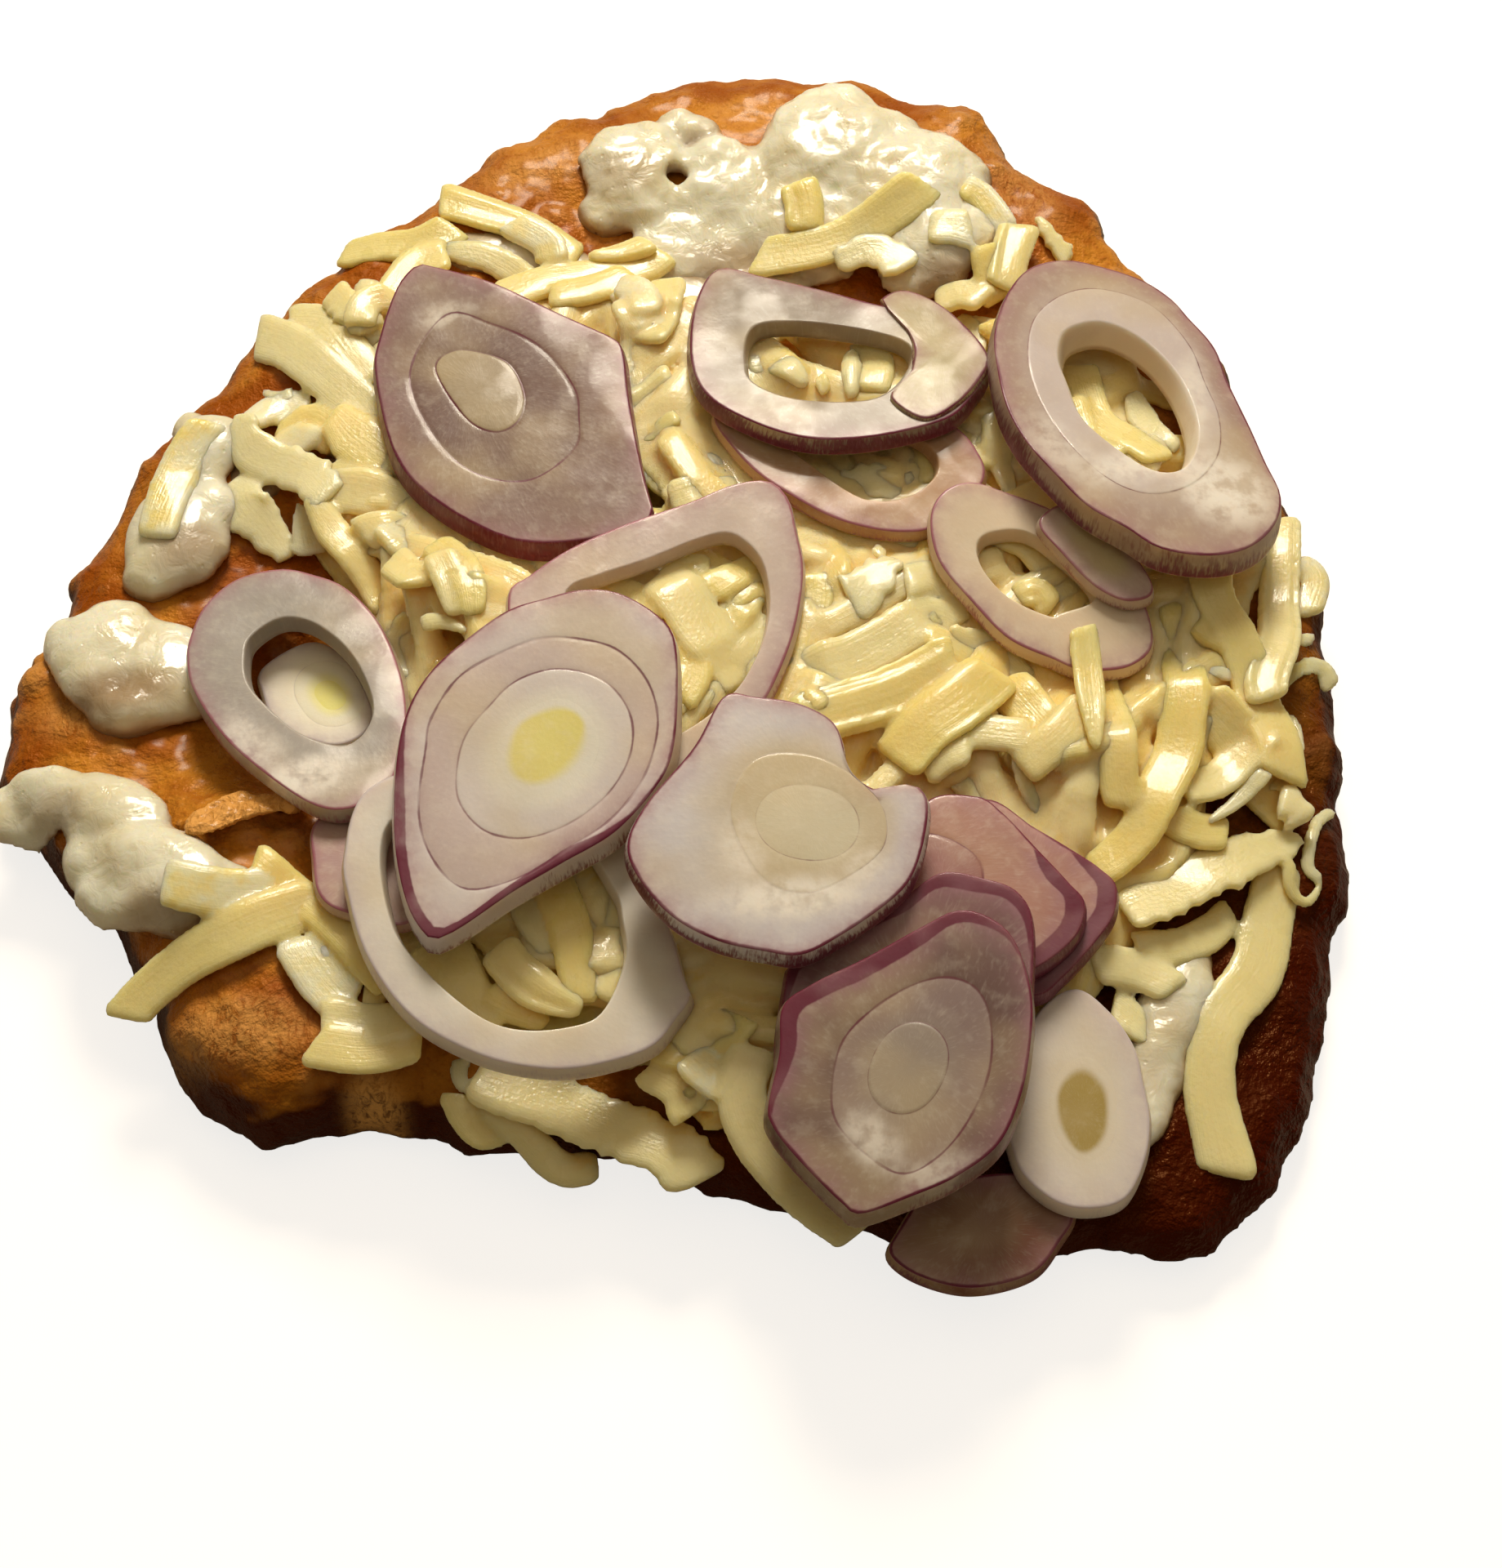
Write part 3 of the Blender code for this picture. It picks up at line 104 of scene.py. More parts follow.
def copy_of_node(node, name):
    """A new object with its own merged copy of a solid part's mesh."""
    mesh = frame["nodes"][node].data.copy()
    mesh.materials.clear()
    obj = bpy.data.objects.new(name, mesh)
    bpy.context.scene.collection.objects.link(obj)
    activate(obj)
    bpy.ops.object.mode_set(mode="EDIT")
    bpy.ops.mesh.select_all(action="SELECT")
    bpy.ops.mesh.remove_doubles(threshold=1e-6)
    bpy.ops.object.mode_set(mode="OBJECT")
    return obj


def join_pieces(target, others):
    deselect()
    for obj in others:
        obj.select_set(True)
    target.select_set(True)
    bpy.context.view_layer.objects.active = target
    bpy.ops.object.join()
    return target


def add_smoothing(obj, rounds):
    obj.modifiers.new("smooth", "SMOOTH").iterations = rounds


def voxel_skin(obj, voxel, rounds):
    """One even skin round everything in the object, smoothed."""
    skin = obj.modifiers.new("skin", "REMESH")
    skin.mode = "VOXEL"
    skin.voxel_size = voxel * MM
    add_smoothing(obj, rounds)
    apply_modifiers(obj)


def roughen(obj, relief, group=""):
    """Pushes the surface out and in by clouds, each given by its name, size and height in mm."""
    for name, size, height in relief:
        texture = bpy.data.textures.new(f"{obj.name} {name}", "CLOUDS")
        texture.noise_scale = size * MM
        push = obj.modifiers.new(name, "DISPLACE")
        push.texture = texture
        push.texture_coords = "LOCAL"
        push.strength = height * MM
        push.vertex_group = group


def points_of(mesh):
    """The mesh's points in mm."""
    flat = np.empty(len(mesh.vertices) * 3)
    mesh.vertices.foreach_get("co", flat)
    return flat.reshape(-1, 3) / MM


def normals_of(mesh):
    flat = np.empty(len(mesh.vertices) * 3)
    mesh.vertex_normals.foreach_get("vector", flat)
    return flat.reshape(-1, 3)


def set_points(mesh, points):
    mesh.vertices.foreach_set("co", (points * MM).ravel())
    mesh.update()


def set_attribute(mesh, name, values):
    """A number, or a colour, for each point of the mesh."""
    values = np.asarray(values, np.float32)
    if values.ndim == 1:
        mesh.attributes.new(name, "FLOAT", "POINT").data.foreach_set("value", values)
    else:
        colours = np.concatenate([values, np.ones((len(values), 1), np.float32)], axis=1)
        mesh.attributes.new(name, "FLOAT_COLOR", "POINT").data.foreach_set("color", colours.ravel())


def new_mesh(name, points, faces):
    mesh = bpy.data.meshes.new(name)
    mesh.from_pydata((np.asarray(points) * MM).tolist(), [], [tuple(face) for face in faces])
    mesh.validate()
    obj = bpy.data.objects.new(name, mesh)
    bpy.context.scene.collection.objects.link(obj)
    return obj


def dress(obj, slot, material, *nodes):
    """Finishes a piece: smooth faces, its material, its body and the nodes that it stands for. The slot is
    not used.
    """
    obj.data.materials.clear()
    obj.data.materials.append(material)
    activate(obj)
    bpy.ops.object.shade_smooth()
    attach(obj, "root")
    if nodes:
        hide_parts(*nodes)
    deselect()
    return obj


def smooth_step(value):
    value = np.clip(value, 0, 1)
    return value * value * (3 - 2 * value)


def between(before, start, end, after, share):
    """Catmull-Rom value at a share of the way from start to end."""
    bend = 2 * before - 5 * start + 4 * end - after
    bend = bend + share * (3 * (start - end) + after - before)
    return start + 0.5 * share * (end - before + share * bend)


def around(values, angle):
    """Smooth periodic reading of evenly spaced values over a full turn."""
    v = np.asarray(values, float)
    t = (np.asarray(angle, float) / (2 * math.pi)) % 1.0 * len(v)
    i = np.floor(t).astype(int)
    f = t - i
    return between(*(v[(i + k) % len(v)] for k in (-1, 0, 1, 2)), f)


# Node groups and materials


def add_node(tree, kind, **values):
    """A node with its settings and inputs by name. Spaces in names are written as underscores."""
    made = tree.nodes.new(kind)
    for key, value in values.items():
        title = key.replace("_", " ")
        if title in made.inputs:
            made.inputs[title].default_value = value
        else:
            setattr(made, key, value)
    return made


def feed(tree, socket, value):
    """Links a socket to another one, or gives it a number or an opaque colour."""
    if isinstance(value, bpy.types.NodeSocket):
        tree.links.new(value, socket)
    elif isinstance(value, float):
        socket.default_value = value
    else:
        socket.default_value = (*value, 1)


def mix_colour(tree, factor, low, high):
    """Mixes two colours, each a value or a socket, by a socket or a number."""
    mix = tree.nodes.new("ShaderNodeMix")
    mix.data_type = "RGBA"
    for socket, value in ((mix.inputs[0], factor), (mix.inputs[6], low), (mix.inputs[7], high)):
        feed(tree, socket, value)
    return mix.outputs[2]


def math_node(tree, operation, first, second, clamp=False):
    made = tree.nodes.new("ShaderNodeMath")
    made.operation = operation
    made.use_clamp = clamp
    feed(tree, made.inputs[0], first)
    feed(tree, made.inputs[1], second)
    return made.outputs[0]


def times(tree, first, second):
    return math_node(tree, "MULTIPLY", first, second)


def total(tree, first, *others):
    """Adds to a value each of the others times its share."""
    for value, share in others:
        first = math_node(tree, "ADD", first, times(tree, value, share))
    return first


def from_half(tree, value, share):
    """A noise about zero, of the given size."""
    return times(tree, math_node(tree, "SUBTRACT", value, 0.5), share)


def map_range(tree, value, low, high, to_low=0.0, to_high=1.0):
    made = tree.nodes.new("ShaderNodeMapRange")
    made.interpolation_type = "SMOOTHSTEP"
    tree.links.new(value, made.inputs["Value"])
    for title, number in (("From Min", low), ("From Max", high), ("To Min", to_low), ("To Max", to_high)):
        made.inputs[title].default_value = number
    return made.outputs["Result"]


def noise(tree, vector, scale, detail=3.0, roughness=0.55, distortion=0.0):
    made = add_node(tree, "ShaderNodeTexNoise", Scale=scale, Detail=detail, Roughness=roughness)
    made.inputs["Distortion"].default_value = distortion
    tree.links.new(vector, made.inputs["Vector"])
    return made.outputs["Fac"]


def cell_distance(tree, vector, scale):
    """How far each place is from the nearest of many scattered spots."""
    made = add_node(tree, "ShaderNodeTexVoronoi", Scale=scale, Randomness=1.0)
    tree.links.new(vector, made.inputs["Vector"])
    return made.outputs["Distance"]


def stretched(tree, vector, scale):
    made = tree.nodes.new("ShaderNodeMapping")
    made.inputs["Scale"].default_value = scale
    tree.links.new(vector, made.inputs["Vector"])
    return made.outputs["Vector"]


def attribute(tree, name, output="Fac"):
    made = tree.nodes.new("ShaderNodeAttribute")
    made.attribute_name = name
    return made.outputs[output]


def object_place(tree):
    return tree.nodes.new("ShaderNodeTexCoord").outputs["Object"]


def new_material(name):
    material = bpy.data.materials.new(name)
    material.use_nodes = True
    tree = material.node_tree
    return material, tree, tree.nodes["Principled BSDF"]


def set_inputs(shader, **values):
    for key, value in values.items():
        shader.inputs[key.replace("_", " ")].default_value = value


def bump(tree, shader, height, strength, distance):
    made = tree.nodes.new("ShaderNodeBump")
    made.inputs["Strength"].default_value = strength
    made.inputs["Distance"].default_value = distance * MM
    tree.links.new(height, made.inputs["Height"])
    tree.links.new(made.outputs["Normal"], shader.inputs["Normal"])


def moist_group():
    """Roughness of a wet surface that is patchy, and the height of its fine grain."""
    found = bpy.data.node_groups.get("Moist Film")
    if found:
        return found
    tree = bpy.data.node_groups.new("Moist Film", "ShaderNodeTree")
    for title, kind in (("Place", "Vector"), ("Patch Scale", "Float"), ("Wet", "Float"), ("Dry", "Float")):
        tree.interface.new_socket(title, in_out="INPUT", socket_type=f"NodeSocket{kind}")
    tree.interface.new_socket("Roughness", in_out="OUTPUT", socket_type="NodeSocketFloat")
    tree.interface.new_socket("Grain", in_out="OUTPUT", socket_type="NodeSocketFloat")
    inside = tree.nodes.new("NodeGroupInput")
    out = tree.nodes.new("NodeGroupOutput")
    patches = tree.nodes.new("ShaderNodeTexNoise")
    patches.inputs["Detail"].default_value = 3.0
    tree.links.new(inside.outputs["Place"], patches.inputs["Vector"])
    tree.links.new(inside.outputs["Patch Scale"], patches.inputs["Scale"])
    spread = tree.nodes.new("ShaderNodeMapRange")
    spread.inputs["From Min"].default_value = 0.35
    spread.inputs["From Max"].default_value = 0.65
    tree.links.new(patches.outputs["Fac"], spread.inputs["Value"])
    tree.links.new(inside.outputs["Wet"], spread.inputs["To Min"])
    tree.links.new(inside.outputs["Dry"], spread.inputs["To Max"])
    tree.links.new(spread.outputs["Result"], out.inputs["Roughness"])
    finer = math_node(tree, "MULTIPLY", inside.outputs["Patch Scale"], 6.0)
    grain = tree.nodes.new("ShaderNodeTexNoise")
    grain.inputs["Detail"].default_value = 2.0
    tree.links.new(inside.outputs["Place"], grain.inputs["Vector"])
    tree.links.new(finer, grain.inputs["Scale"])
    tree.links.new(grain.outputs["Fac"], out.inputs["Grain"])
    return tree


def add_moisture(tree, shader, scale, wet, dry):
    """Gives a shader the patchy wet roughness, and returns the grain's height."""
    film = tree.nodes.new("ShaderNodeGroup")
    film.node_tree = moist_group()
    film.inputs["Patch Scale"].default_value = scale
    film.inputs["Wet"].default_value = wet
    film.inputs["Dry"].default_value = dry
    tree.links.new(object_place(tree), film.inputs["Place"])
    tree.links.new(film.outputs["Roughness"], shader.inputs["Roughness"])
    return film.outputs["Grain"]


# Colours and stretches that the materials use beside the settings

OIL_TINT = (1.0, 0.75, 0.45, 1)
OIL_GLOSS = (1.0, 0.42, 0.1, 1)
SPECK_COLOUR = (0.12, 0.07, 0.03)
CREAMED_CHEESE = (0.95, 0.86, 0.62)
WHITE_FIBRE = (0.80, 0.74, 0.64)
# Colour of the painted sheen on cut onion faces
SHEEN_COLOUR = (0.88, 0.83, 0.76)
TORN_FIBRES = (700.0, 330.0, 500.0)
SHRED_STREAKS = (0.3, 7.0, 1.0)
FLESH_FIBRES = (150.0, 5.0, 1.0)
SKIN_STREAKS = (260.0, 1.2, 1.0)
SKIN_PATCHES = (9.0, 0.4, 1.0)


def crust_material(settings):
    """Fried dough: mottled orange and brown, pale on the blisters, dark on the walls, at the front and on the
    right, partly browner frying and partly painted shade, with a film of oil.
    """
    material, tree, shader = new_material("fried crust")
    place = object_place(tree)
    browned = attribute(tree, "browned")
    broad = noise(tree, place, 42.0, 4.0, 0.6, 0.4)
    fine = noise(tree, place, 210.0, 4.0, 0.65)
    tiny = noise(tree, place, 900.0, 2.0)
    colour = mix_colour(tree, map_range(tree, broad, 0.38, 0.62), settings.crust_golden, settings.crust_brown)
    colour = mix_colour(tree, map_range(tree, fine, 0.5, 0.74, 0.0, 0.55), colour, settings.crust_brown)
    pale = times(tree, attribute(tree, "blister"), map_range(tree, fine, 0.3, 0.6, 0.3, 1.0))
    colour = mix_colour(tree, times(tree, pale, 0.6), colour, settings.crust_pale)
    colour = mix_colour(tree, map_range(tree, tiny, 0.56, 0.7, 0.0, 0.35), colour, settings.crust_brown)
    # Painted shade with real browning: walls, front and right side go towards the dark crust colour
    brown_and_shade_level = math_node(tree, "ADD", browned, times(tree, fine, 0.25), clamp=True)
    colour = mix_colour(tree, map_range(tree, brown_and_shade_level, 0.2, 1.0), colour, settings.crust_burnt_and_shaded)
    bubble = map_range(tree, cell_distance(tree, place, 430.0), 0.32, 0.12)
    bubble = times(tree, bubble, map_range(tree, broad, 0.5, 0.35))
    fleck = times(tree, bubble, map_range(tree, browned, 0.5, 0.1, 0.0, 0.45))
    colour = mix_colour(tree, fleck, colour, settings.crust_pale)
    # Pale torn fibres, partly real torn dough, partly painted light on lit tops
    fibres = noise(tree, stretched(tree, place, TORN_FIBRES), 1.0, 3.0, 0.65, 1.6)
    torn = times(tree, attribute(tree, "torn"), map_range(tree, fibres, 0.3, 0.56, 0.25, 1.0))
    colour = mix_colour(tree, torn, colour, settings.crust_torn)
    tree.links.new(colour, shader.inputs["Base Color"])
    grain = add_moisture(tree, shader, 120.0, wet=0.25, dry=0.55)
    creases = noise(tree, place, 75.0, 4.0, 0.6, 2.6)
    height = total(tree, fine, (torn, 0.4), (creases, 1.4), (bubble, 0.25), (tiny, 0.7), (grain, 0.3))
    bump(tree, shader, height, 0.7, 0.9)
    tree.links.new(map_range(tree, browned, 0.1, 0.5, 0.2, 0.0), shader.inputs["Coat Weight"])
    set_inputs(shader, Coat_Roughness=0.2, Coat_Tint=OIL_TINT)
    set_inputs(shader, Specular_IOR_Level=0.25, Specular_Tint=OIL_GLOSS)
    return material


def cream_material(settings):
    """Sour cream: off-white, wet, with pinholes and a few dark specks."""
    material, tree, shader = new_material("sour cream")
    place = object_place(tree)
    broad = noise(tree, place, 90.0, 3.0)
    hollow = map_range(tree, broad, 0.4, 0.7, 0.0, 0.6)
    colour = mix_colour(tree, hollow, settings.cream_white, settings.cream_yellow)
    # Crust showing through where the cream lies shallow, plus painted shade on steep sides and in the given
    # spots
    colour = mix_colour(tree, times(tree, attribute(tree, "thin"), 0.85), colour, settings.cream_thin_and_shade)
    few = map_range(tree, noise(tree, place, 240.0, 0.0), 0.55, 0.6)
    speck = times(tree, map_range(tree, cell_distance(tree, place, 150.0), 0.06, 0.02), few)
    colour = mix_colour(tree, times(tree, speck, 0.85), colour, SPECK_COLOUR)
    tree.links.new(colour, shader.inputs["Base Color"])
    pinhole = map_range(tree, cell_distance(tree, place, 420.0), 0.05, 0.16)
    grain = add_moisture(tree, shader, 110.0, wet=0.2, dry=0.42)
    curds = noise(tree, place, 330.0, 3.0, 0.55, 0.6)
    bump(tree, shader, total(tree, times(tree, pinhole, 0.25), (grain, 0.2), (curds, 0.9)), 0.5, 0.9)
    set_inputs(shader, Subsurface_Weight=0.7, Subsurface_Radius=(1.0, 0.8, 0.5), Subsurface_Scale=0.004)
    set_inputs(shader, Coat_Weight=0.5, Coat_Roughness=0.08)
    return material


def cheese_material(settings):
    """Grated cheese: waxy and see-through, with painted shade that makes it deepest yellow in the crevices,
    white where cream clings to it.
    """
    material, tree, shader = new_material("grated cheese")
    place = object_place(tree)
    mottle = noise(tree, place, 160.0, 3.0)
    colour = mix_colour(tree, attribute(tree, "shade"), settings.cheese_deep, settings.cheese_pale)
    colour = mix_colour(tree, map_range(tree, mottle, 0.5, 0.75, 0.0, 0.3), colour, settings.cheese_pale)
    # Painted shade: crevices turn a deeper, darker yellow
    colour = mix_colour(tree, times(tree, attribute(tree, "sunk"), 0.5), colour, settings.cheese_crevice_shade)
    patchy = times(tree, attribute(tree, "coat"), map_range(tree, mottle, 0.36, 0.56))
    colour = mix_colour(tree, times(tree, patchy, 0.85), colour, CREAMED_CHEESE)
    tree.links.new(colour, shader.inputs["Base Color"])
    strand = attribute(tree, "strand", "Color")
    streaks = noise(tree, stretched(tree, strand, SHRED_STREAKS), 3.0, 2.0, 0.5)
    grit = noise(tree, place, 800.0, 2.0)
    grain = add_moisture(tree, shader, 260.0, wet=0.16, dry=0.45)
    bump(tree, shader, total(tree, times(tree, streaks, 0.4), (grain, 0.45), (grit, 0.25)), 0.45, 0.5)
    set_inputs(shader, Subsurface_Weight=1.0, Subsurface_Radius=(1.0, 0.88, 0.6), Subsurface_Scale=0.0028)
    set_inputs(shader, Specular_IOR_Level=0.4, Coat_Weight=0.32, Coat_Roughness=0.08)
    return material


def onion_group():
    """The cut face and skin of an onion slice, from the attributes that each slice's mesh carries."""
    found = bpy.data.node_groups.get("Onion Slice")
    if found:
        return found
    tree = bpy.data.node_groups.new("Onion Slice", "ShaderNodeTree")
    for title in ("Skin", "Blush", "Below"):
        tree.interface.new_socket(title, in_out="INPUT", socket_type="NodeSocketColor")
    tree.interface.new_socket("Colour", in_out="OUTPUT", socket_type="NodeSocketColor")
    tree.interface.new_socket("Height", in_out="OUTPUT", socket_type="NodeSocketFloat")
    inside = tree.nodes.new("NodeGroupInput")
    out = tree.nodes.new("NodeGroupOutput")
    place = object_place(tree)
    turn = add_node(tree, "ShaderNodeUVMap", uv_map="round").outputs["UV"]
    fibres = noise(tree, stretched(tree, turn, FLESH_FIBRES), 1.0, 2.0)
    mottle = noise(tree, place, 330.0, 3.0, 0.6)
    broad = noise(tree, place, 55.0, 2.0)
    colour = attribute(tree, "flesh", "Color")
    colour = mix_colour(tree, map_range(tree, broad, 0.42, 0.7, 0.0, 0.45), colour, inside.outputs["Below"])
    blush = times(tree, attribute(tree, "blush"), map_range(tree, mottle, 0.3, 0.65, 0.9, 0.45))
    colour = mix_colour(tree, blush, colour, inside.outputs["Blush"])
    white = mix_colour(tree, 0.45, colour, WHITE_FIBRE)
    colour = mix_colour(tree, map_range(tree, mottle, 0.5, 0.72, 0.0, 0.3), colour, white)
    colour = mix_colour(tree, map_range(tree, fibres, 0.5, 0.8, 0.0, 0.3), colour, white)
    # Painted sheen: whiter patches where the cut face would catch the light
    frost = times(tree, attribute(tree, "frost"), map_range(tree, mottle, 0.3, 0.6, 0.3, 1.0))
    colour = mix_colour(tree, frost, colour, SHEEN_COLOUR)
    wander = from_half(tree, mottle, 0.35)
    distance = math_node(tree, "ADD", attribute(tree, "line_mm"), wander)
    broken = map_range(tree, noise(tree, place, 120.0, 1.0), 0.33, 0.6, 0.15, 0.85)
    line = times(tree, map_range(tree, distance, 0.3, 0.08), broken)
    colour = mix_colour(tree, line, colour, inside.outputs["Skin"])
    rim = math_node(tree, "ADD", attribute(tree, "rim_mm"), wander)
    edge = times(tree, map_range(tree, rim, 0.42, 0.1), map_range(tree, broken, 0.15, 0.85, 0.7, 1.0))
    colour = mix_colour(tree, edge, colour, inside.outputs["Skin"])
    streaks = noise(tree, stretched(tree, turn, SKIN_STREAKS), 1.0, 2.0, 0.7)
    patches = noise(tree, stretched(tree, turn, SKIN_PATCHES), 1.0, 1.0)
    wall = attribute(tree, "skin")
    ragged = math_node(tree, "ADD", wall, from_half(tree, streaks, 0.9))
    ragged = math_node(tree, "ADD", ragged, from_half(tree, patches, 1.1))
    skin = times(tree, map_range(tree, ragged, 0.25, 0.6), map_range(tree, wall, 0.0, 0.12))
    paler = mix_colour(tree, 0.45, inside.outputs["Skin"], inside.outputs["Blush"])
    streaky = map_range(tree, streaks, 0.45, 0.75, 0.0, 0.8)
    colour = mix_colour(tree, skin, colour, mix_colour(tree, streaky, inside.outputs["Skin"], paler))
    tree.links.new(colour, out.inputs["Colour"])
    cells = times(tree, cell_distance(tree, place, 1300.0), 0.25)
    tree.links.new(total(tree, cells, (fibres, 0.3), (mottle, 0.5)), out.inputs["Height"])
    return tree


def onion_material(name, skin, blush, below):
    """Onion with skin of one colour, flesh tinted by it near the rim, and cheese showing through."""
    material, tree, shader = new_material(name)
    group = tree.nodes.new("ShaderNodeGroup")
    group.node_tree = onion_group()
    for title, colour in (("Skin", skin), ("Blush", blush), ("Below", below)):
        feed(tree, group.inputs[title], colour)
    tree.links.new(group.outputs["Colour"], shader.inputs["Base Color"])
    grain = add_moisture(tree, shader, 300.0, wet=0.3, dry=0.55)
    bump(tree, shader, total(tree, group.outputs["Height"], (grain, 0.25)), 0.15, 0.35)
    set_inputs(shader, Subsurface_Weight=0.5, Subsurface_Radius=(1.0, 0.8, 0.65), Subsurface_Scale=0.0035)
    set_inputs(shader, Specular_IOR_Level=0.3, Coat_Weight=0.2, Coat_Roughness=0.08)
    return material


# Heights of what lies on the table so far

GRID_LOW, GRID_HIGH = -128, 140
NOTHING = -50.0
OPEN_SKY = 400.0


class Relief:
    """Heights in mm on a 1 mm grid, read and raised as pieces are laid down."""

    def __init__(self, value=NOTHING):
        side = GRID_HIGH - GRID_LOW + 1
        self.cells = np.full((side, side), float(value))

    def index(self, x, y):
        top = GRID_HIGH - GRID_LOW
        i = np.clip(np.rint(np.asarray(x) - GRID_LOW).astype(int), 0, top)
        j = np.clip(np.rint(np.asarray(y) - GRID_LOW).astype(int), 0, top)
        return i, j

    def read(self, x, y):
        return self.cells[self.index(x, y)]

    def add_mesh(self, mesh, underside=False):
        """Raises the relief to a mesh's top, or lowers a ceiling to its underside."""
        points = points_of(mesh)
        mesh.calc_loop_triangles()
        faces = [tuple(triangle.vertices) for triangle in mesh.loop_triangles]
        tree = BVHTree.FromPolygons([tuple(p) for p in points], faces)
        start, way = (-60.0, (0, 0, 1)) if underside else (160.0, (0, 0, -1))
        low, high = points.min(axis=0), points.max(axis=0)
        for x in range(max(GRID_LOW, math.floor(low[0])), min(GRID_HIGH, math.ceil(high[0])) + 1):
            for y in range(max(GRID_LOW, math.floor(low[1])), min(GRID_HIGH, math.ceil(high[1])) + 1):
                hit = tree.ray_cast((x + 0.001, y + 0.0013, start), way)[0]
                if hit is None:
                    continue
                cell = (x - GRID_LOW, y - GRID_LOW)
                pick = min if underside else max
                self.cells[cell] = pick(self.cells[cell], hit[2])

    def stamp(self, x, y, z):
        """Raises single spots."""
        np.maximum.at(self.cells, self.index(x, y), z)

    def spread_lowest(self):
        """Each cell takes the lowest of itself and its eight neighbours."""
        shifts = [(di, dj) for di in (-1, 0, 1) for dj in (-1, 0, 1)]
        self.cells = np.min([np.roll(self.cells, shift, (0, 1)) for shift in shifts], axis=0)


# Crust

CRUST_NAME = "langos_crust"
CRUST_VOXEL = 0.95
CRUST_RELIEF = (("lumps", 13.0, 2.2), ("folds", 5.0, 1.1), ("grain", 1.8, 0.35))

# The wall is plain up to the first height in mm, and has its whole relief that much further up
PLAIN_FOOT, RELIEF_RISE = 1.0, 2.5

# Blisters lie round this middle, between these shares of the way to the edge, and have these radii in mm
CRUST_MIDDLE = (6, -4)
BLISTER_BELT = (0.62, 1.12)
BLISTER_SIZES = (1.1, 4.2)
BLISTER_RISE = (0.12, 0.3)

# The walls, the side that this way in x and y faces and the front are darker, by these shares: partly browner
# frying, partly painted shade where the light from the back falls less
DARK_WAY = (math.cos(math.radians(-42)), math.sin(math.radians(-42)))
DARK_REACH, FRONT_REACH = 110, 100
WALLS_BROWN_AND_SHADE, SIDE_BROWN_AND_SHADE, FRONT_BROWN_AND_SHADE = 1.2, 0.72, 0.3

# The torn flap's outline in x and y, its height at the back, its rise to the front for each mm, its thickness
FLAKE = (
    (-69, -45.5), (-69, -43.5), (-68.5, -41.5), (-66.5, -40.5), (-64, -38.5), (-59.5, -38), (-55, -38.5),
    (-53.5, -40), (-54.5, -41.5), (-58.5, -42), (-62, -43.5), (-65, -45.5), (-67, -46),
)
FLAKE_HEIGHT = 18.4
FLAKE_LIFT = 0.3
FLAKE_THICK = 1.3
FLAKE_VOXEL = 0.45
FLAKE_RELIEF = (("folds", 3.0, 1.6), ("grain", 1.0, 0.5))

# Each table of spots has rows of x, y, reach along the slant, reach across, slant in degrees and strength.

# Where the crust is torn to pale fibres, which also stand in as painted light on the lit tops of ledges
TORN_AND_LIT_SPOTS = (
    (-60, -74, 11, 5, 0, 0.6),
    (-41, -84, 4, 4.5, 0, 0.9),
    (-86, -20, 9, 5, 20, 0.6),
    (-70, 62, 10, 4, 50, 0.4),
    (-20, 84, 16, 4, 22, 0.5),
    (56, 78, 5, 11, 28, 0.45),
    (12, 94, 8, 4, 0, 0.35),
)


def blister_spots(count, seed):
    """Centres, sizes and heights of the small bubbles of the dough, on the rim and walls."""
    rng = np.random.default_rng(seed)
    spots = []
    low, high = (np.array(corner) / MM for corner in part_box("bread"))
    while len(spots) < count:
        x, y = rng.uniform(low[0], high[0]), rng.uniform(low[1], high[1])
        reach = np.hypot(*(2 * (np.array([x, y]) - CRUST_MIDDLE) / (high - low)[:2]))
        if not BLISTER_BELT[0] <= reach <= BLISTER_BELT[1]:
            continue
        size = BLISTER_SIZES[0] + (BLISTER_SIZES[1] - BLISTER_SIZES[0]) * rng.random() ** 2.2
        spots.append((x, y, size, size * rng.uniform(*BLISTER_RISE)))
    return spots


def spot_share(points, spots):
    """How strong the spots are at each point."""
    share = np.zeros(len(points))
    for x, y, along, across, slant, strength in spots:
        dx, dy = points[:, 0] - x - CENTRING[0], points[:, 1] - y - CENTRING[1]
        cos, sin = math.cos(math.radians(slant)), math.sin(math.radians(slant))
        far = ((dx * cos + dy * sin) / along) ** 2 + ((dy * cos - dx * sin) / across) ** 2
        share = np.maximum(share, strength * np.exp(-(far**2)))
    return share


def make_flake(material):
    """The torn flap of crust by the left onion ring, lifted along its front edge."""
    loop = smooth_loop(FLAKE, 6) + CENTRING
    low = FLAKE_HEIGHT + FLAKE_LIFT * (loop[:, 1].max() - loop[:, 1])
    count = len(loop)
    points = np.concatenate([np.column_stack([loop, low + height]) for height in (0.0, FLAKE_THICK)])
    faces = [(k, (k + 1) % count, count + (k + 1) % count, count + k) for k in range(count)]
    faces += [tuple(range(count - 1, -1, -1)), tuple(range(count, 2 * count))]
    flake = new_mesh("langos_crust_flake", points, faces)
    voxel_skin(flake, FLAKE_VOXEL, 2)
    roughen(flake, FLAKE_RELIEF)
    apply_modifiers(flake)
    for name, value in (("browned", 0.0), ("blister", 0.3), ("torn", 1.0)):
        set_attribute(flake.data, name, np.full(len(flake.data.vertices), value))
    return dress(flake, "bread", material)


